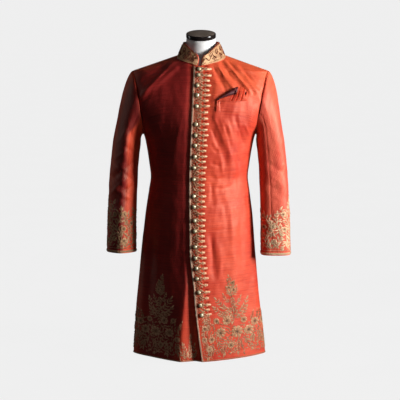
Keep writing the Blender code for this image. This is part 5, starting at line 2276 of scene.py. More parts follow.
    def flower(self, x: float, z: float, radius: float, tone: float = 0.7, petals: int = 8) -> None:
        """Draws a round flower: overlapping scalloped petals, smaller darker ones, and a knotted middle.

        Args:
            x: Its place across.
            z: Its height.
            radius: Its radius.
            tone: Lightness of its thread.
            petals: Number of its outer petals.
        """
        start = self.rng.uniform(0, 360)
        for count, foot, length, spread, shade, rise in (
            (petals, 0.44, 0.56, 0.88, tone + 0.14, 0.0015),
            (petals - 1, 0.28, 0.42, 0.62, tone - 0.02, 0.0019),
            (petals - 3, 0.1, 0.28, 0.34, tone - 0.22, 0.0023),
        ):
            for index in range(count):
                angle = start + index * 360 / count
                way = math.radians(angle)
                foot_x, foot_z = x + radius * foot * math.cos(way), z + radius * foot * math.sin(way)
                width = 2 * math.pi * radius * spread / count
                thick = self.vary(rise, 0.12)
                self.leaf(foot_x, foot_z, angle, radius * length, width, shade, 0.08, thick, Shape.PETAL)
            start += 17
        self.bead(x, z, radius * 0.2, tone - 0.62, 0.0024)
        self.middles.append((x, z))

    def curve(self, knots: Sequence[Flat], step: float = 0.003) -> Array:
        """Draws a smooth path through some places.

        Args:
            knots: The places, across and up.
            step: Distance between two of its points.

        Returns:
            The path's points.
        """
        corners = np.array(knots, float)
        lengths = arc_lengths(corners)
        places = np.linspace(0, lengths[-1], max(4, int(lengths[-1] / step)))
        return glide(lengths, corners, np.gradient(corners, lengths, axis=0), places)

    def vine(
        self, knots: Sequence[Flat], leaf: float, pitch: float, tone: float = 0.65, spread: float = 42.0,
        width: float = 0.002, plump: float = 0.4,
    ) -> None:
        """Draws a stem with leaves on both sides.

        Args:
            knots: Places that the stem runs through.
            leaf: Length of a leaf.
            pitch: Distance between two pairs of leaves.
            tone: Lightness of its thread.
            spread: Angle between a leaf and the stem.
            width: Width of the stem.
            plump: Width of a leaf as a share of its length.
        """
        path = self.curve(knots)
        self.stem(path, width, tone - 0.1)
        way = unit(np.gradient(path, axis=0))
        steps = arc_lengths(path)
        place = pitch * 0.5
        while place < steps[-1]:
            at = int(np.argmin(np.abs(steps - place)))
            heading = math.degrees(math.atan2(way[at, 1], way[at, 0]))
            size = leaf * mix(1.0, 0.65, place / steps[-1])
            for hand in (1, -1):
                angle = heading + hand * self.vary(spread, 0.2)
                length, shade = self.vary(size, 0.15), tone + self.rng.uniform(-0.12, 0.12)
                self.leaf(*path[at], angle, length, size * plump, shade, -0.2 * hand)
            place += self.vary(pitch, 0.12)
        heading = math.degrees(math.atan2(way[-1, 1], way[-1, 0]))
        self.leaf(*path[-1], heading, leaf * 0.95, leaf * plump, tone + 0.15)

    def spray(
        self, x: float, z: float, angle: float, length: float, tone: float = 0.65, curl: float = 0.15
    ) -> None:
        """Draws a short leafy branch that bends to one side.

        Args:
            x: Place of its foot across.
            z: Height of its foot.
            angle: Degrees from level.
            length: Foot to tip.
            tone: Lightness of its thread.
            curl: Share of the length by which its tip swings.
        """
        way = math.radians(angle)
        ahead = np.array([math.cos(way), math.sin(way)])
        aside = np.array([-math.sin(way), math.cos(way)])
        foot, shares = np.array([x, z]), (0, 0.35, 0.7, 1.0)
        knots = [foot + ahead * length * share + aside * length * curl * share**2 for share in shares]
        self.vine(knots, length * 0.4, length * 0.23, tone, 46.0, 0.0019, 0.36)

    def fill(
        self, low: Flat, high: Flat, spacing: float, size: float, tone: float,
        keep: Callable[[float, float], bool],
    ) -> None:
        """Fills the bare places of a field with small leaves and knots.

        Args:
            low: Its lowest corner.
            high: Its highest corner.
            spacing: Distance between two places.
            size: Length of a leaf.
            tone: Lightness.
            keep: Whether a place is in the field.
        """
        taken = np.array(self.middles or [(9.0, 9.0)])
        added: list[Flat] = []
        for z in np.arange(low[1], high[1], spacing):
            for x in np.arange(low[0], high[0], spacing):
                place = np.array([x, z]) + self.rng.uniform(-self.fill_shift, self.fill_shift, 2) * spacing
                if not keep(*place):
                    continue
                if np.min(np.hypot(*(taken - place).T)) < spacing * self.fill_clear:
                    continue
                if added and np.min(np.hypot(*(np.array(added) - place).T)) < spacing * self.fill_clear:
                    continue
                angle = self.rng.uniform(0, 360)
                shade = tone + self.rng.uniform(-0.2, 0.15)
                way = math.radians(angle)
                foot = place - np.array([math.cos(way), math.sin(way)]) * size * 0.5
                self.leaf(*foot, angle, self.vary(size, 0.25), size * 0.42, shade, 0.15)
                if self.rng.uniform() < self.knot_chance:
                    self.bead(place[0] + size * 0.5, place[1] - size * 0.4, self.knot_radius, shade)
                added.append(tuple(place))

    def build(self, name: str, put: Put, finish: Material) -> Piece:
        """Lays everything drawn on the cloth and makes one object of it.

        Args:
            name: Object name.
            put: Lays flat points on the cloth.
            finish: Material of the thread.

        Returns:
            The object.
        """
        flat = np.concatenate(self.points)
        base = flat[np.argmin(np.abs(flat[:, 1] - np.median(flat[:, 1])))].copy()
        base[2] = 0.0
        steps = np.array([[0, 0, 0], [0.002, 0, 0], [0, 0.002, 0], [0, 0, 0.002]])
        corner = put(base + steps)
        hand = float(np.dot(np.cross(corner[1] - corner[0], corner[2] - corner[0]), corner[3] - corner[0]))
        faces = self.faces if hand > 0 else [face[::-1] for face in self.faces]
        thread, tones = np.concatenate(self.thread), np.concatenate(self.tones)
        made = mesh_object(name, put(flat), faces, [finish], thread, tones, sharp=80.0)
        declare(made, "gold_braid")
        return made


# ---------------------------------------------------------------- the embroidery
@dataclass
class RoundSkin:
    """The skirt all round, for work that goes past its sides. Places count from the left side seam."""

    form: CoatForm
    level: float = 0.1
    steps: int = 720

    def __post_init__(self) -> None:
        """Measures the skirt's girth."""
        self.angles = np.linspace(math.pi / 2 - 2 * math.pi, math.pi / 2 + 2 * math.pi, 2 * self.steps + 1)
        points = self.form.plain_point(self.angles, np.full(len(self.angles), self.level))
        lengths = arc_lengths(points)
        self.girth = float(lengths[-1] / 2)
        self.places = lengths - self.girth

    def place_of(self, angle: float) -> float:
        """Distance round the skirt of an angle."""
        return float(np.interp(angle, self.angles, self.places))

    def lay(self, flat: Array) -> Array:
        """Puts flat work on the skirt. Its places across grow from the left side to the back.

        Args:
            flat: Place across, height and rise of each point.

        Returns:
            The points in space.
        """
        angle = np.interp(flat[:, 0], self.places, self.angles)
        turned = (angle + math.pi) % (2 * math.pi) - math.pi
        point = self.form.cloth_point(turned, flat[:, 1])
        edge = self.form.angle_at(self.form.edge_x(flat[:, 1]), flat[:, 1])
        under = (turned < edge) & (np.cos(turned) > 0)
        point[:, 1] += np.where(under, self.form.opening_shift(point[:, 0], point[:, 2]), 0.0)
        return point + self.form.outward(turned, flat[:, 1]) * flat[:, 2:3]


@dataclass(frozen=True)
class Bloom:
    """A flower's place from its tree's middle, with its radius."""

    x: float
    z: float
    radius: float


@dataclass(frozen=True)
class Branch:
    """A leafy branch, by the places that it runs through and its leaves' length."""

    knots: tuple[Flat, ...]
    leaf: float


@dataclass
class TreeMotif:
    """Flowering tree that rises from a bed of flowers along the hem."""

    leaf_size: float = 1.22
    bed_top: float = 0.15
    bed_low: float = 0.026
    blooms: tuple[Bloom, ...] = table(
        Bloom,
        (-0.015, 0.149, 0.016), (-0.036, 0.109, 0.0185), (0.022, 0.107, 0.0215), (0.064, 0.108, 0.018),
        (0.086, 0.134, 0.015), (-0.068, 0.088, 0.012), (0.0, 0.062, 0.0125), (0.046, 0.146, 0.012),
        (-0.052, 0.152, 0.011),
    )
    crown: tuple[Branch, ...] = table(
        Branch,
        (((0.003, 0.232), (-0.004, 0.254), (0.001, 0.276), (-0.008, 0.301)), 0.0115),
        (((0.002, 0.238), (-0.011, 0.248), (-0.016, 0.263)), 0.0105),
        (((0.004, 0.238), (0.016, 0.248), (0.019, 0.264)), 0.0105),
        (((0.003, 0.262), (0.01, 0.271), (0.01, 0.283)), 0.009),
        (((-0.003, 0.272), (-0.011, 0.28), (-0.013, 0.289)), 0.008),
    )
    crown_blooms: tuple[Bloom, ...] = table(
        Bloom,
        (0.008, 0.256, 0.0088), (-0.008, 0.266, 0.0078), (0.005, 0.281, 0.007),
    )
    branches: tuple[Branch, ...] = table(
        Branch,
        (((0.002, 0.236), (0.007, 0.205), (0.013, 0.178), (0.006, 0.146)), 0.0135),
        (((0.01, 0.182), (-0.014, 0.19), (-0.034, 0.206), (-0.05, 0.224)), 0.0165),
        (((0.01, 0.172), (-0.02, 0.173), (-0.042, 0.182), (-0.056, 0.195)), 0.015),
        (((0.01, 0.165), (-0.012, 0.162), (-0.034, 0.168)), 0.0125),
        (((0.007, 0.2), (0.02, 0.203), (0.031, 0.224)), 0.013),
        (((0.012, 0.168), (0.034, 0.18), (0.048, 0.196), (0.055, 0.213)), 0.016),
        (((0.014, 0.158), (0.03, 0.16), (0.044, 0.168), (0.054, 0.184)), 0.0135),
        (((-0.004, 0.214), (-0.018, 0.222), (-0.026, 0.238)), 0.011),
    )
    sprays: tuple[tuple[float, float, float, float], ...] = (
        (-0.06, 0.074, -118, 0.046), (-0.046, 0.08, -74, 0.044), (-0.014, 0.082, -112, 0.046),
        (0.004, 0.078, -76, 0.044), (0.03, 0.08, -104, 0.042), (0.052, 0.086, -70, 0.046),
        (0.084, 0.098, -108, 0.05), (0.098, 0.106, -78, 0.046), (0.094, 0.146, 80, 0.024),
        (-0.074, 0.118, 100, 0.03), (0.07, 0.14, 62, 0.028), (-0.04, 0.138, 122, 0.024),
    )

    def vines(
        self, pen: Pen, rows: Sequence[Branch], x: float, side: float, pitch: float, plump: float
    ) -> None:
        """Draws some branches.

        Args:
            pen: The pen to draw with.
            rows: The branches.
            x: The tree's middle.
            side: Scale across, below 0 where it is mirrored.
            pitch: Distance between two pairs of leaves, as a share of a leaf.
            plump: Width of a leaf as a share of its length.
        """
        for branch in rows:
            path = [(x + side * bx, bz) for bx, bz in branch.knots]
            leaf = branch.leaf * self.leaf_size
            pen.vine(path, leaf, leaf * pitch, 0.68, 46.0, 0.0022, plump)

    def draw(
        self, pen: Pen, x: float, hand: int = 1, size: float = 1.0, bed: Flat = (-0.078, 0.1),
        reach: float = 1.0,
    ) -> None:
        """Draws the tree and its bed.

        Args:
            pen: The pen to draw with.
            x: Its middle.
            hand: -1 mirrors it.
            size: Scale across.
            bed: Ends of the bed of flowers, from the middle.
            reach: Further scale across of its branches.
        """
        side, girth = hand * size, min(size, 1.0)
        self.vines(pen, self.crown, x, side * reach, 0.56, 0.4)
        self.vines(pen, self.branches, x, side * reach, 0.58, 0.38)
        flowers = []
        for bloom in self.blooms + self.crown_blooms:
            flowers.append((x + side * bloom.x, bloom.z, bloom.radius * girth))
            pen.flower(*flowers[-1], 0.68)
        for sx, sz, angle, length in self.sprays:
            turned = angle if hand > 0 else 180 - angle
            pen.spray(x + side * sx, sz, turned, length, 0.62, 0.16 * hand)
        ends = sorted((x + hand * size * bed[0], x + hand * size * bed[1]))

        def bare(px: float, pz: float) -> bool:
            """Whether a place lies in the bed and outside its flowers.

            Args:
                px: Place across.
                pz: Height.

            Returns:
                Whether it may be filled.
            """
            edge = self.bed_top - 0.012 + 0.01 * math.sin(px * 190) - 0.006 * math.cos(px * 83)
            low = self.bed_low + 0.007 + 0.006 * math.sin(px * 150 + 1)
            if not (low < pz < edge):
                return False
            return all(math.hypot(px - fx, pz - fz) > fr * 1.02 for fx, fz, fr in flowers)

        pen.fill((ends[0], self.bed_low), (ends[1], self.bed_top), 0.0086, 0.0128, 0.58, bare)


@dataclass
class PlacketWork:
    """Gold fingers, scrolls and flowers beside the upper front's edge."""

    form: CoatForm
    buttons: ButtonRow
    pitch: float = 0.019
    last_z: float = 0.185
    strip_middle: float = 0.0122
    knot: float = 0.0375
    low_tip: float = 0.056
    high_tip: float = 0.062
    shorter: float = 0.0045

    def rows(self) -> list[tuple[float, bool]]:
        """Spaces the fingers evenly between the buttons.

        Returns:
            Heights of the fingers, and whether a button is beside them.
        """
        heights = [z for z, _ in self.buttons.places]
        result = []
        for high, low in zip(heights, heights[1:] + [heights[-1] - 0.019]):
            count = max(1, round((high - low) / self.pitch))
            result += [(mix(high, low, index / count), index == 0) for index in range(count)]
        return result

    def finger(self, gold: Pen, red: Pen, z: float, is_long: bool) -> None:
        """Draws one blunt finger on its forked foot, with a dark red stitch in the gap above it.

        Args:
            gold: Pen of the gold thread.
            red: Pen of the red thread.
            z: Its height.
            is_long: Whether a button is beside it.
        """
        edge = float(self.form.edge_x(z))
        z += gold.rng.uniform(-0.0008, 0.0008)
        tip = mix(self.low_tip, self.high_tip, (z - 0.2) / 0.8) - (0 if is_long else self.shorter)
        tip = gold.vary(tip, 0.02)
        knot = edge + self.knot
        bend = gold.rng.uniform(-0.1, 0.1)
        length = edge + tip - knot + 0.003
        gold.leaf(knot - 0.003, z, -bend * 40, length, 0.009, 0.96, bend, 0.0032, Shape.ROD)
        # a dark red stitch fills the gap above the finger
        red.leaf(knot - 0.002, z + 0.0094, 0, 0.023, 0.007, 0.45, 0.04, 0.0005)
        for hand in (1, -1):
            gold.leaf(edge + 0.0215, z + hand * 0.0082, -hand * 33, 0.0172, 0.0052, 0.82, 0.14 * hand, 0.0021)
            gold.leaf(edge + 0.025, z + hand * 0.0036, hand * 24, 0.0105, 0.004, 0.62, -0.2 * hand, 0.0017)
            gold.leaf(knot + 0.001, z + hand * 0.0024, hand * 38, 0.0088, 0.0036, 0.74, -0.2 * hand, 0.0016)
        gold.bead(knot - 0.001, z, 0.003, 0.92, 0.0036)
        gold.bead(edge + 0.0215, z, 0.0022, 0.6)

    def ground(self, gold: Pen, red: Pen) -> None:
        """Fills the strip beside the braid and the ground between the buttons.

        Args:
            gold: Pen of the gold thread.
            red: Pen of the red thread.
        """
        places = np.arange(1.012, self.last_z - 0.004, -0.0024)
        wave = 0.0026 * np.sin(places * 2 * math.pi / self.pitch)
        gold.stem(stack(self.form.edge_x(places) + self.strip_middle + wave, places), 0.0018, 0.62)
        for number, z in enumerate(np.arange(1.01, self.last_z, -0.0044)):
            edge = float(self.form.edge_x(z))
            hand = 1 if number % 2 else -1
            gold.leaf(edge + self.strip_middle - 0.001, z, 90 - hand * 60, 0.0068, 0.0032, 0.6, 0.2 * hand)
            red.leaf(edge + self.strip_middle + 0.0012 * hand, z + 0.002, 90 + hand * 70, 0.005, 0.003, 0.2)
            for offset in (0.018, 0.0232, 0.0284):
                near = min(math.hypot(z - bz, offset - bo) for bz, bo in self.buttons.places)
                if near < 0.0092:
                    continue
                angle = float(gold.rng.uniform(-80, 80))
                shade = gold.vary(0.6, 0.35)
                gold.leaf(edge + offset - 0.002, z, angle, 0.0086, 0.0036, shade, 0.25 * hand)
                if gold.rng.uniform() < 0.45:
                    red.leaf(edge + offset, z + 0.002, angle + 90, 0.0062, 0.0034, 0.15)

    def foot(self, gold: Pen) -> None:
        """Draws the leafy end of the placket, from the last finger to the hem.

        Args:
            gold: Pen of the gold thread.
        """
        top = self.last_z - 0.01
        edge_top, edge_low = float(self.form.edge_x(top)), float(self.form.edge_x(0.03))
        share = np.linspace(1, 0, 7)
        middle = mix(edge_low, edge_top, share) + 0.024 + 0.007 * np.sin(share * 9)
        gold.vine(stack(middle, mix(0.026, top, share)), 0.014, 0.008, 0.64)
        outer = [(edge_top + 0.04, top + 0.004), (edge_top + 0.046, top - 0.022), (edge_top + 0.04, 0.12)]
        gold.vine(outer, 0.013, 0.008, 0.66)
        for z, offset, radius in ((0.128, 0.026, 0.0105), (0.088, 0.02, 0.01), (0.056, 0.032, 0.0115)):
            gold.flower(float(self.form.edge_x(z)) + offset, z, radius, 0.64)

        def beside(px: float, pz: float) -> bool:
            """Whether a place lies beside the edge."""
            offset = px - float(self.form.edge_x(pz))
            return 0.0105 < offset < 0.044

        gold.fill((edge_top, 0.024), (edge_low + 0.046, top), 0.0072, 0.0092, 0.52, beside)

    def draw(self, gold: Pen, red: Pen) -> None:
        """Draws the whole placket.

        Args:
            gold: Pen of the gold thread.
            red: Pen of the red thread.
        """
        for z, is_long in self.rows():
            if z > self.last_z - 0.012:
                self.finger(gold, red, z, is_long)
        self.ground(gold, red)
        self.foot(gold)


@dataclass
class Trims:
    """Braid along the front edge, and cords along the hem."""

    form: CoatForm
    inner: float = 0.0064
    outer: float = 0.0004
    hem_rise: float = 0.003

    def braid(self, gold: Pen) -> None:
        """Plaits the braid.

        Args:
            gold: Pen of the gold thread.
        """
        heights = np.arange(self.form.hem_z + 0.001, 1.0195, 0.004)
        edge = self.form.edge_x(heights)
        left = stack(edge + self.outer, heights)
        right = stack(edge + self.inner, heights)
        gold.strip(left, right, 3, 0.0012, 0.6)
        for offset in (self.outer + 0.0005, self.inner - 0.0004):
            gold.stem(stack(edge + offset, heights), 0.0015, 0.78, 0.0022)
        for z in np.arange(self.form.hem_z + 0.002, 1.015, 0.004):
            x = float(self.form.edge_x(z)) + (self.inner + self.outer) / 2
            gold.leaf(x + 0.0019, z, 130, 0.006, 0.0033, 0.95, 0.0, 0.0032, Shape.ROD)

    def hem(self, gold: Pen, skirt: RoundSkin) -> None:
        """Couches a dark gold cord along the skirt's hem, except on the upper front's end.

        Args:
            gold: Pen of the gold thread.
            skirt: The skirt all round.
        """
        z = self.form.hem_z + self.hem_rise
        first = skirt.place_of(float(self.form.angle_at(np.array(self.form.edge_x(z)), np.array(z))) + 0.01)
        last = first + skirt.girth - 0.002
        path = stack(np.arange(first, last, 0.004), z)
        gold.stem(path, 0.0036, 0.7, 0.0014)


@dataclass
class CuffWork:
    """Climbing vines all round a cuff, over a trim line."""

    sleeves: Sleeves
    vines: int = 9
    top_z: float = 0.526
    higher: float = 0.06

    def top_at(self, place: float) -> float:
        """Height of the embroidery's uneven upper edge."""
        turn = place / self.sleeves.cuff_radius
        return self.top_z + self.higher * (0.5 + 0.5 * math.cos(turn)) ** 4 + 0.006 * math.sin(turn * 5)

    def draw(self, side: Side, pen: Pen) -> None:
        """Draws the cuff of one sleeve.

        Args:
            side: Which sleeve.
            pen: The pen to draw with.
        """
        girth = 2 * math.pi * self.sleeves.cuff_radius
        low = self.sleeves.cuff_z(side) + 0.024
        for number in range(self.vines):
            start = number * girth / self.vines
            top = self.top_at(start) - 0.012
            phase = pen.rng.uniform(0, 6.28)
            knots = [
                (start + 0.0095 * math.sin(phase + share * 8.5), mix(low, top, float(share)))
                for share in np.linspace(0, 1, 10)
            ]
            pen.vine(knots, 0.0205, 0.0125, 0.8, 50, 0.0023, 0.4)
            middle = (number + 0.5) * girth / self.vines
            for z in (low + 0.018, low + 0.07, low + 0.118):
                if pen.rng.uniform() < 0.45 and z < self.top_at(middle) - 0.012:
                    place = middle + pen.rng.uniform(-0.002, 0.002)
                    pen.flower(place, z + pen.rng.uniform(-0.01, 0.01), 0.01, 0.78)

        def inside(px: float, pz: float) -> bool:
            """Whether a place lies under the embroidery's upper edge."""
            return low - 0.004 < pz < self.top_at(px) - 0.012

        pen.fill((0.0, low - 0.004), (girth, 0.6), 0.0098, 0.0165, 0.72, inside)
        ring = np.linspace(0, girth, 97)
        base = self.sleeves.cuff_z(side)
        pen.stem(stack(ring, base + 0.0175), 0.0022, 0.55, 0.001, True)
        pen.strip(stack(ring, base + 0.003), stack(ring, base + 0.0098), 2, 0.0014, 0.86)
        for place in np.arange(0, girth, 0.004):
            pen.leaf(float(place), base + 0.0034, 64, 0.0066, 0.0027, 0.95, 0.0, 0.0023)


@dataclass
class CollarWork:
    """Gold field on the collar, with red scrolls and flowers outlined on it."""

    collar: Collar
    height: float = 0.04
    unit_length: float = 0.026

    def put(self, flat: Array) -> Array:
        """Lays flat work on the collar.

        Args:
            flat: Length, height in metres and rise of each point.

        Returns:
            The points in space.
        """
        scaled = flat.copy()
        scaled[:, 1] = flat[:, 1] / self.height
        return self.collar.lay(scaled)

    def draw(self, gold: Pen, red: Pen) -> None:
        """Draws the collar from end to end.

        Args:
            gold: Pen of the gold thread.
            red: Pen of the red thread.
        """
        length = self.collar.length()
        places = np.arange(0.0022, length - 0.002, 0.0022)
        gap = np.clip(0.011 - np.minimum(places, length - places), 0, None)
        top = self.height * 0.955 - gap * 0.9
        gold.strip(stack(places, 0.0014), stack(places, top), 10, 0.0008, 0.66)
        gold.stem(stack(places, 0.002), 0.002, 0.8, 0.0019)
        gold.stem(stack(places, top - 0.0016), 0.0018, 0.78, 0.0018)
        red.stem(stack(places, top + 0.0004), 0.0026, 0.1, 0.002)
        middle = self.height * 0.47
        wave = middle + 0.0065 * np.sin(places * 2 * math.pi / self.unit_length)
        red.stem(stack(places, wave), 0.0026, 0.4, 0.0026)
        count = int((length - 0.02) / (self.unit_length / 2))
        for number in range(count):
            x = 0.012 + number * self.unit_length / 2
            hand = 1 if number % 2 else -1
            z = middle - hand * 0.0062
            turns = np.linspace(0, 1, 16)
            angle = hand * (2.2 * math.pi * turns) + (0 if hand > 0 else math.pi)
            reach = 0.0078 * (1 - turns * 0.72)
            scroll = stack(x + reach * np.cos(angle), z + hand * -0.001 + reach * np.sin(angle))
            red.stem(scroll, 0.0028, 0.3, 0.0027)
            for step in range(6):
                way = step * 60 + 20 * hand
                fx, fz = x + 0.0024 * math.cos(math.radians(way)), z + 0.0024 * math.sin(math.radians(way))
                gold.leaf(fx, fz, way, 0.0034, 0.0026, 0.92, 0.0, 0.0024, Shape.PETAL)
            red.bead(x, z, 0.0015, 0.5, 0.0026)
            for way in (35, 145, 215, 325):
                angle_out = math.radians(way)
                gold.leaf(
                    x + 0.0085 * math.cos(angle_out), z + 0.0085 * math.sin(angle_out), way + 25 * hand,
                    0.0062, 0.003, 0.85, 0.1, 0.0021,
                )
        for place in np.arange(0.005, length - 0.004, 0.0052):
            gold.leaf(float(place), 0.0032, 70, 0.005, 0.0022, 0.88, 0.1, 0.0019)
            red.leaf(float(place) + 0.0026, 0.004, 90, 0.004, 0.0016, 0.5, 0.0, 0.0017)


@dataclass
class Embroidery:
    """All the gold and red work on the coat."""

    form: CoatForm
    panels: BodyPanels
    sleeves: Sleeves
    collar: Collar
    buttons: ButtonRow
    tree: TreeMotif = field(default_factory=TreeMotif)

    def front(self, gold: Material, dull: Material, red: Material, rope: Material) -> None:
        """Embroiders the two fronts.

        Args:
            gold: Thread of the placket, the fern and the under front's tree, which takes this lighter gold as
                painted light in its shade.
            dull: Thread of the upper front's tree, a darker gold on the lit side.
            red: Thread of the placket's ground.
            rope: Thread of the braid.
        """
        left = ClothSkin(self.panels.sheets["front_left"])
        right = ClothSkin(self.panels.sheets["front_right"])
        pen, scarlet = Pen(21), Pen(22)
        PlacketWork(self.form, self.buttons).draw(pen, scarlet)
        pen.build("gold_placket", left.lay, gold)
        scarlet.build("red_placket", left.lay, red)
        # painted light: the lit upper front's tree takes the darker gold, and the under front's tree, in
        # shade, the lighter gold
        pen = Pen(31)
        self.tree.draw(pen, 0.105, 1, 0.98, (-0.068, 0.102))
        pen.build("gold_tree_left", left.lay, dull)
        pen = Pen(41)
        self.tree.draw(pen, -0.137, -1, 0.84, (-0.076, 0.092), 0.8)
        pen.build("gold_tree_right", right.lay, gold)
        pen = Pen(51)
        self.fern(pen)
        pen.build("gold_fern", right.lay, gold)
        pen = Pen(61)
        Trims(self.form).braid(pen)
        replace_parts(pen.build("gold_front_braid", left.lay, rope), "front_braid")

    def fern(self, pen: Pen) -> None:
        """Draws the fern on the under front, which shows in the opening.

        Args:
            pen: The pen to draw with.
        """
        pen.vine([(-0.037, 0.02), (-0.035, 0.06), (-0.034, 0.098)], 0.014, 0.008, 0.76)
        sprays = ((-0.046, 102, 0.048), (-0.028, 78, 0.044), (-0.05, 120, 0.026), (-0.026, 62, 0.026))
        for x, angle, length in sprays:
            pen.spray(x, 0.02, angle, length, 0.7, 0.05)

        def low(px: float, pz: float) -> bool:
            """Whether a place lies in the fern's foot."""
            return pz < 0.058 - abs(px + 0.038) * 0.6

        pen.fill((-0.06, 0.022), (-0.018, 0.06), 0.0075, 0.008, 0.6, low)

    def back(self, gold: Material) -> None:
        """Carries the bed of flowers round the sides and the back, with four more trees.

        Args:
            gold: Thread of the trees and the hem.
        """
        skirt = RoundSkin(self.form)
        level = np.array(skirt.level)
        left = skirt.place_of(float(self.form.angle_at(np.array(0.208), level)))
        right_angle = float(self.form.angle_at(np.array(-0.216), level)) + 2 * math.pi
        right = skirt.place_of(right_angle)
        count = 4
        step = (right - left) / count
        size = step / 0.18
        for number in range(count):
            pen = Pen(71 + number)
            hand = 1 if number % 2 else -1
            middle = left + step * (number + 0.5) - hand * 0.01
            self.tree.draw(pen, middle, hand, min(size, 1.1), (-0.08, 0.102))
            pen.build(f"gold_tree_back_{number + 1}", skirt.lay, gold)
        pen = Pen(81)
        Trims(self.form).hem(pen, skirt)
        pen.build("gold_hem_cord", skirt.lay, gold)

    def cuffs(self, gold: Material, lit_cuff_thread: Material) -> None:
        """Embroiders the cuffs.

        Args:
            gold: Thread of the right one, a darker gold as painted shade on the shaded cuff.
            lit_cuff_thread: Thread of the left one, a lighter gold as painted light on the lit cuff.
        """
        for side in Side:
            pen = Pen(91 + side.value)
            CuffWork(self.sleeves).draw(side, pen)
            # painted shade: the shaded right cuff takes the darker gold; painted light: the lit left cuff
            # takes the lighter gold
            thread = lit_cuff_thread if side is Side.LEFT else gold
            pen.build(f"gold_cuff_{side.word}", self.sleeves.lay(side), thread)

    def neck(self, field_thread: Material, scroll_thread: Material) -> None:
        """Embroiders the collar.

        Args:
            field_thread: Thread of the field.
            scroll_thread: Thread of the scrolls.
        """
        pen, scarlet = Pen(101), Pen(102)
        work = CollarWork(self.collar)
        work.draw(pen, scarlet)
        pen.build("gold_collar_field", work.put, field_thread)
        scarlet.build("red_collar_scrolls", work.put, scroll_thread)

    def build(self) -> None:
        """Makes the threads and embroiders the coat."""
        red_dark, red_light = tint(0.14, 0.008, 0.004), tint(0.46, 0.034, 0.014)
        scroll_dark, scroll_light = tint(0.15, 0.022, 0.01), tint(0.36, 0.07, 0.028)
        rope_dark, rope_light = tint(0.34, 0.165, 0.1), tint(0.9, 0.62, 0.44)
        gold = ThreadFinish().make()
        dull = ThreadFinish("dull_gold_thread", tint(0.085, 0.03, 0.011), tint(0.56, 0.32, 0.16)).make()
        # lighter gold as painted light on the lit left cuff
        lit_cuff_thread = ThreadFinish("bright_gold_thread", tint(0.26, 0.115, 0.045), tint(0.78, 0.53, 0.31)).make()
        red = ThreadFinish("red_thread", red_dark, red_light, 0.0, 0.7, 0.05).make()
        rope = ThreadFinish("braid_thread", rope_dark, rope_light, 0.15, 0.42).make()
        field_thread = ThreadFinish("collar_thread", tint(0.3, 0.12, 0.045), tint(0.86, 0.5, 0.26)).make()
        scroll = ThreadFinish("scroll_thread", scroll_dark, scroll_light, 0.0, 0.6, 0.2)
        self.neck(field_thread, scroll.make())
        self.front(gold, dull, red, rope)
        self.back(dull)
        self.cuffs(dull, lit_cuff_thread)


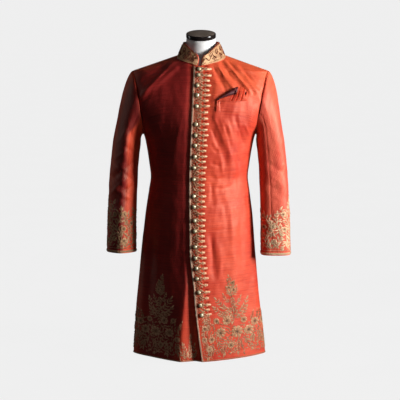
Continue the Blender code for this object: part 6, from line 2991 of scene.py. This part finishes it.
# ---------------------------------------------------------------- studio
@dataclass
class Studio:
    """Pale floor, soft lights and the camera."""

    camera_place: tuple[float, float, float] = (-0.0016, -4.3, 1.21)
    camera_down: float = 8.673
    lens: float = 113.13
    sensor: float = 36.0
    floor_size: float = 60.0
    pale: Colour = tint(0.86, 0.86, 0.86)

    def camera(self) -> None:
        """Places the camera."""
        data = bpy.data.cameras.new("camera")
        data.lens, data.sensor_width = self.lens, self.sensor
        made = link_object("camera", data)
        made.location = self.camera_place
        made.rotation_euler = (math.radians(90 - self.camera_down), 0, 0)
        bpy.context.scene.camera = made

    def floor(self) -> None:
        """Lays the floor, which gives off most of its own light so that it stays even."""
        select_only()
        bpy.ops.mesh.primitive_plane_add(size=self.floor_size, location=(0, 0, -0.0004))
        made = bpy.context.object
        made.name = "studio_floor"
        shader = Shader("pale_floor")
        mottle = shader.noise(shader.place((1, 1, 1), False), 3.0, 3.0)
        colour = shader.blend(mottle, tint(0.85, 0.85, 0.85), tint(0.866, 0.866, 0.866))
        made.data.materials.append(shader.finish({
            "Base Color": tint(0.015, 0.015, 0.015),
            "Roughness": 0.85 + mottle * 0.1,
            "Specular IOR Level": 0.0,
            "Emission Color": colour,
            "Emission Strength": 1.0,
        }))
        made.visible_diffuse = made.visible_glossy = False

    def light(
        self, name: str, place: Sequence[float], aim: Sequence[float], size: Flat, power: float,
        spread: float = 180.0,
    ) -> None:
        """Hangs a soft rectangular light.

        Args:
            name: Object name.
            place: Where it hangs.
            aim: What it points at.
            size: Width and height.
            power: Watts.
            spread: Degrees that it opens to.
        """
        data = bpy.data.lights.new(name, "AREA")
        data.shape = "RECTANGLE"
        data.size, data.size_y = size
        data.energy = power
        data.spread = math.radians(spread)
        made = link_object(name, data)
        made.location = place
        made.rotation_euler = (Vector(aim) - Vector(place)).to_track_quat("-Z", "Y").to_euler()

    def sky(self) -> None:
        """Makes the backdrop pale to the eye and weak as a light."""
        world = bpy.data.worlds.new("studio_sky")
        bpy.context.scene.world = world
        world.use_nodes = True
        nodes, links = world.node_tree.nodes, world.node_tree.links
        ground = next(node for node in nodes if node.type == "BACKGROUND")
        ground.inputs["Color"].default_value = tint(0.82, 0.76, 0.76)
        ground.inputs["Strength"].default_value = 0.036
        seen = nodes.new("ShaderNodeBackground")
        seen.inputs["Color"].default_value = self.pale
        seen.inputs["Strength"].default_value = 1.0
        path = nodes.new("ShaderNodeLightPath")
        both = nodes.new("ShaderNodeMixShader")
        out = next(node for node in nodes if node.type == "OUTPUT_WORLD")
        links.new(path.outputs["Is Camera Ray"], both.inputs[0])
        links.new(ground.outputs[0], both.inputs[1])
        links.new(seen.outputs[0], both.inputs[2])
        links.new(both.outputs[0], out.inputs["Surface"])

    def build(self) -> None:
        """Sets the studio up."""
        bpy.context.scene.view_settings.view_transform = "Standard"
        self.camera()
        self.floor()
        self.sky()
        middle = (0.05, 0.0, 0.62)
        self.light("key", (3.46, -1.5, 1.48), (0.05, 0.0, 0.82), (0.95, 1.4), 41.5, 70.0)
        self.light("front_fill", (0.9, -3.2, 1.5), middle, (1.4, 1.4), 4.5)
        self.light("left_rim", (-2.6, 0.6, 1.3), middle, (0.5, 2.0), 4.8)


# ---------------------------------------------------------------- the whole
def main() -> None:
    """Builds the coat, its embroidery, the form and the studio."""
    logging.basicConfig(level=logging.INFO, format="%(name)s: %(message)s")
    silk, lining = SilkFinish().make(), LiningFinish().make()
    finishes = (silk, lining)
    form = CoatForm()
    panels = BodyPanels(form)
    panels.build(finishes)
    sleeves = Sleeves(form)
    # painted light: the left sleeve takes lighter silk colours; the right sleeve takes lighter colours on its
    # inner stripe and painted-shade colours on its outer half
    lit_left_sleeve_silk = SilkFinish("left_sleeve_silk", warp=tint(0.62, 0.042, 0.034), weft=tint(0.9, 0.17, 0.092))
    right_sleeve_lit_and_shaded_silk = SilkFinish(
        "right_sleeve_silk",
        warp=tint(0.64, 0.03, 0.018),
        weft=tint(0.95, 0.125, 0.045),
        deep_warp=tint(0.12, 0.004, 0.007),
        deep_weft=tint(0.34, 0.018, 0.016),
        sheen=0.11,
        parting=-0.2735,
        swings=((0.36, 0.7, 0.018), (0.775, 0.845, 0.045), (0.86, 1.0, -0.02)),
        blend_reach=0.016,
    )
    sleeves.build({Side.LEFT: lit_left_sleeve_silk.make(), Side.RIGHT: right_sleeve_lit_and_shaded_silk.make()}, lining)
    collar = Collar(panels)
    collar.build(finishes)

    front = ClothSkin(panels.sheets["front_left"])
    pocket = Pocket(front)
    pocket.welt(finishes)
    pocket.square(finishes)
    rim = MetalFinish("button_rim", tint(0.08, 0.04, 0.016), tint(0.28, 0.17, 0.07), 0.6, 0.4)
    buttons = ButtonRow(form, front)
    buttons.build(PearlFinish().make(), rim.make())
    steel = MetalFinish("stand_paint", tint(0.035, 0.035, 0.038), tint(0.09, 0.09, 0.095), 0.5, 0.42)
    # the cap's top faces take a lighter brown-grey than its black lacquer rim
    brown_grey_cap_top = MetalFinish("cap_top", tint(0.11, 0.083, 0.066), tint(0.3, 0.235, 0.19), 0.0, 0.42)
    DressForm().build(CoverFinish().make(), GlossFinish().make(), brown_grey_cap_top.make(), steel.make())
    Embroidery(form, panels, sleeves, collar, buttons).build()
    Studio().build()


if __name__ == "__main__":
    main()
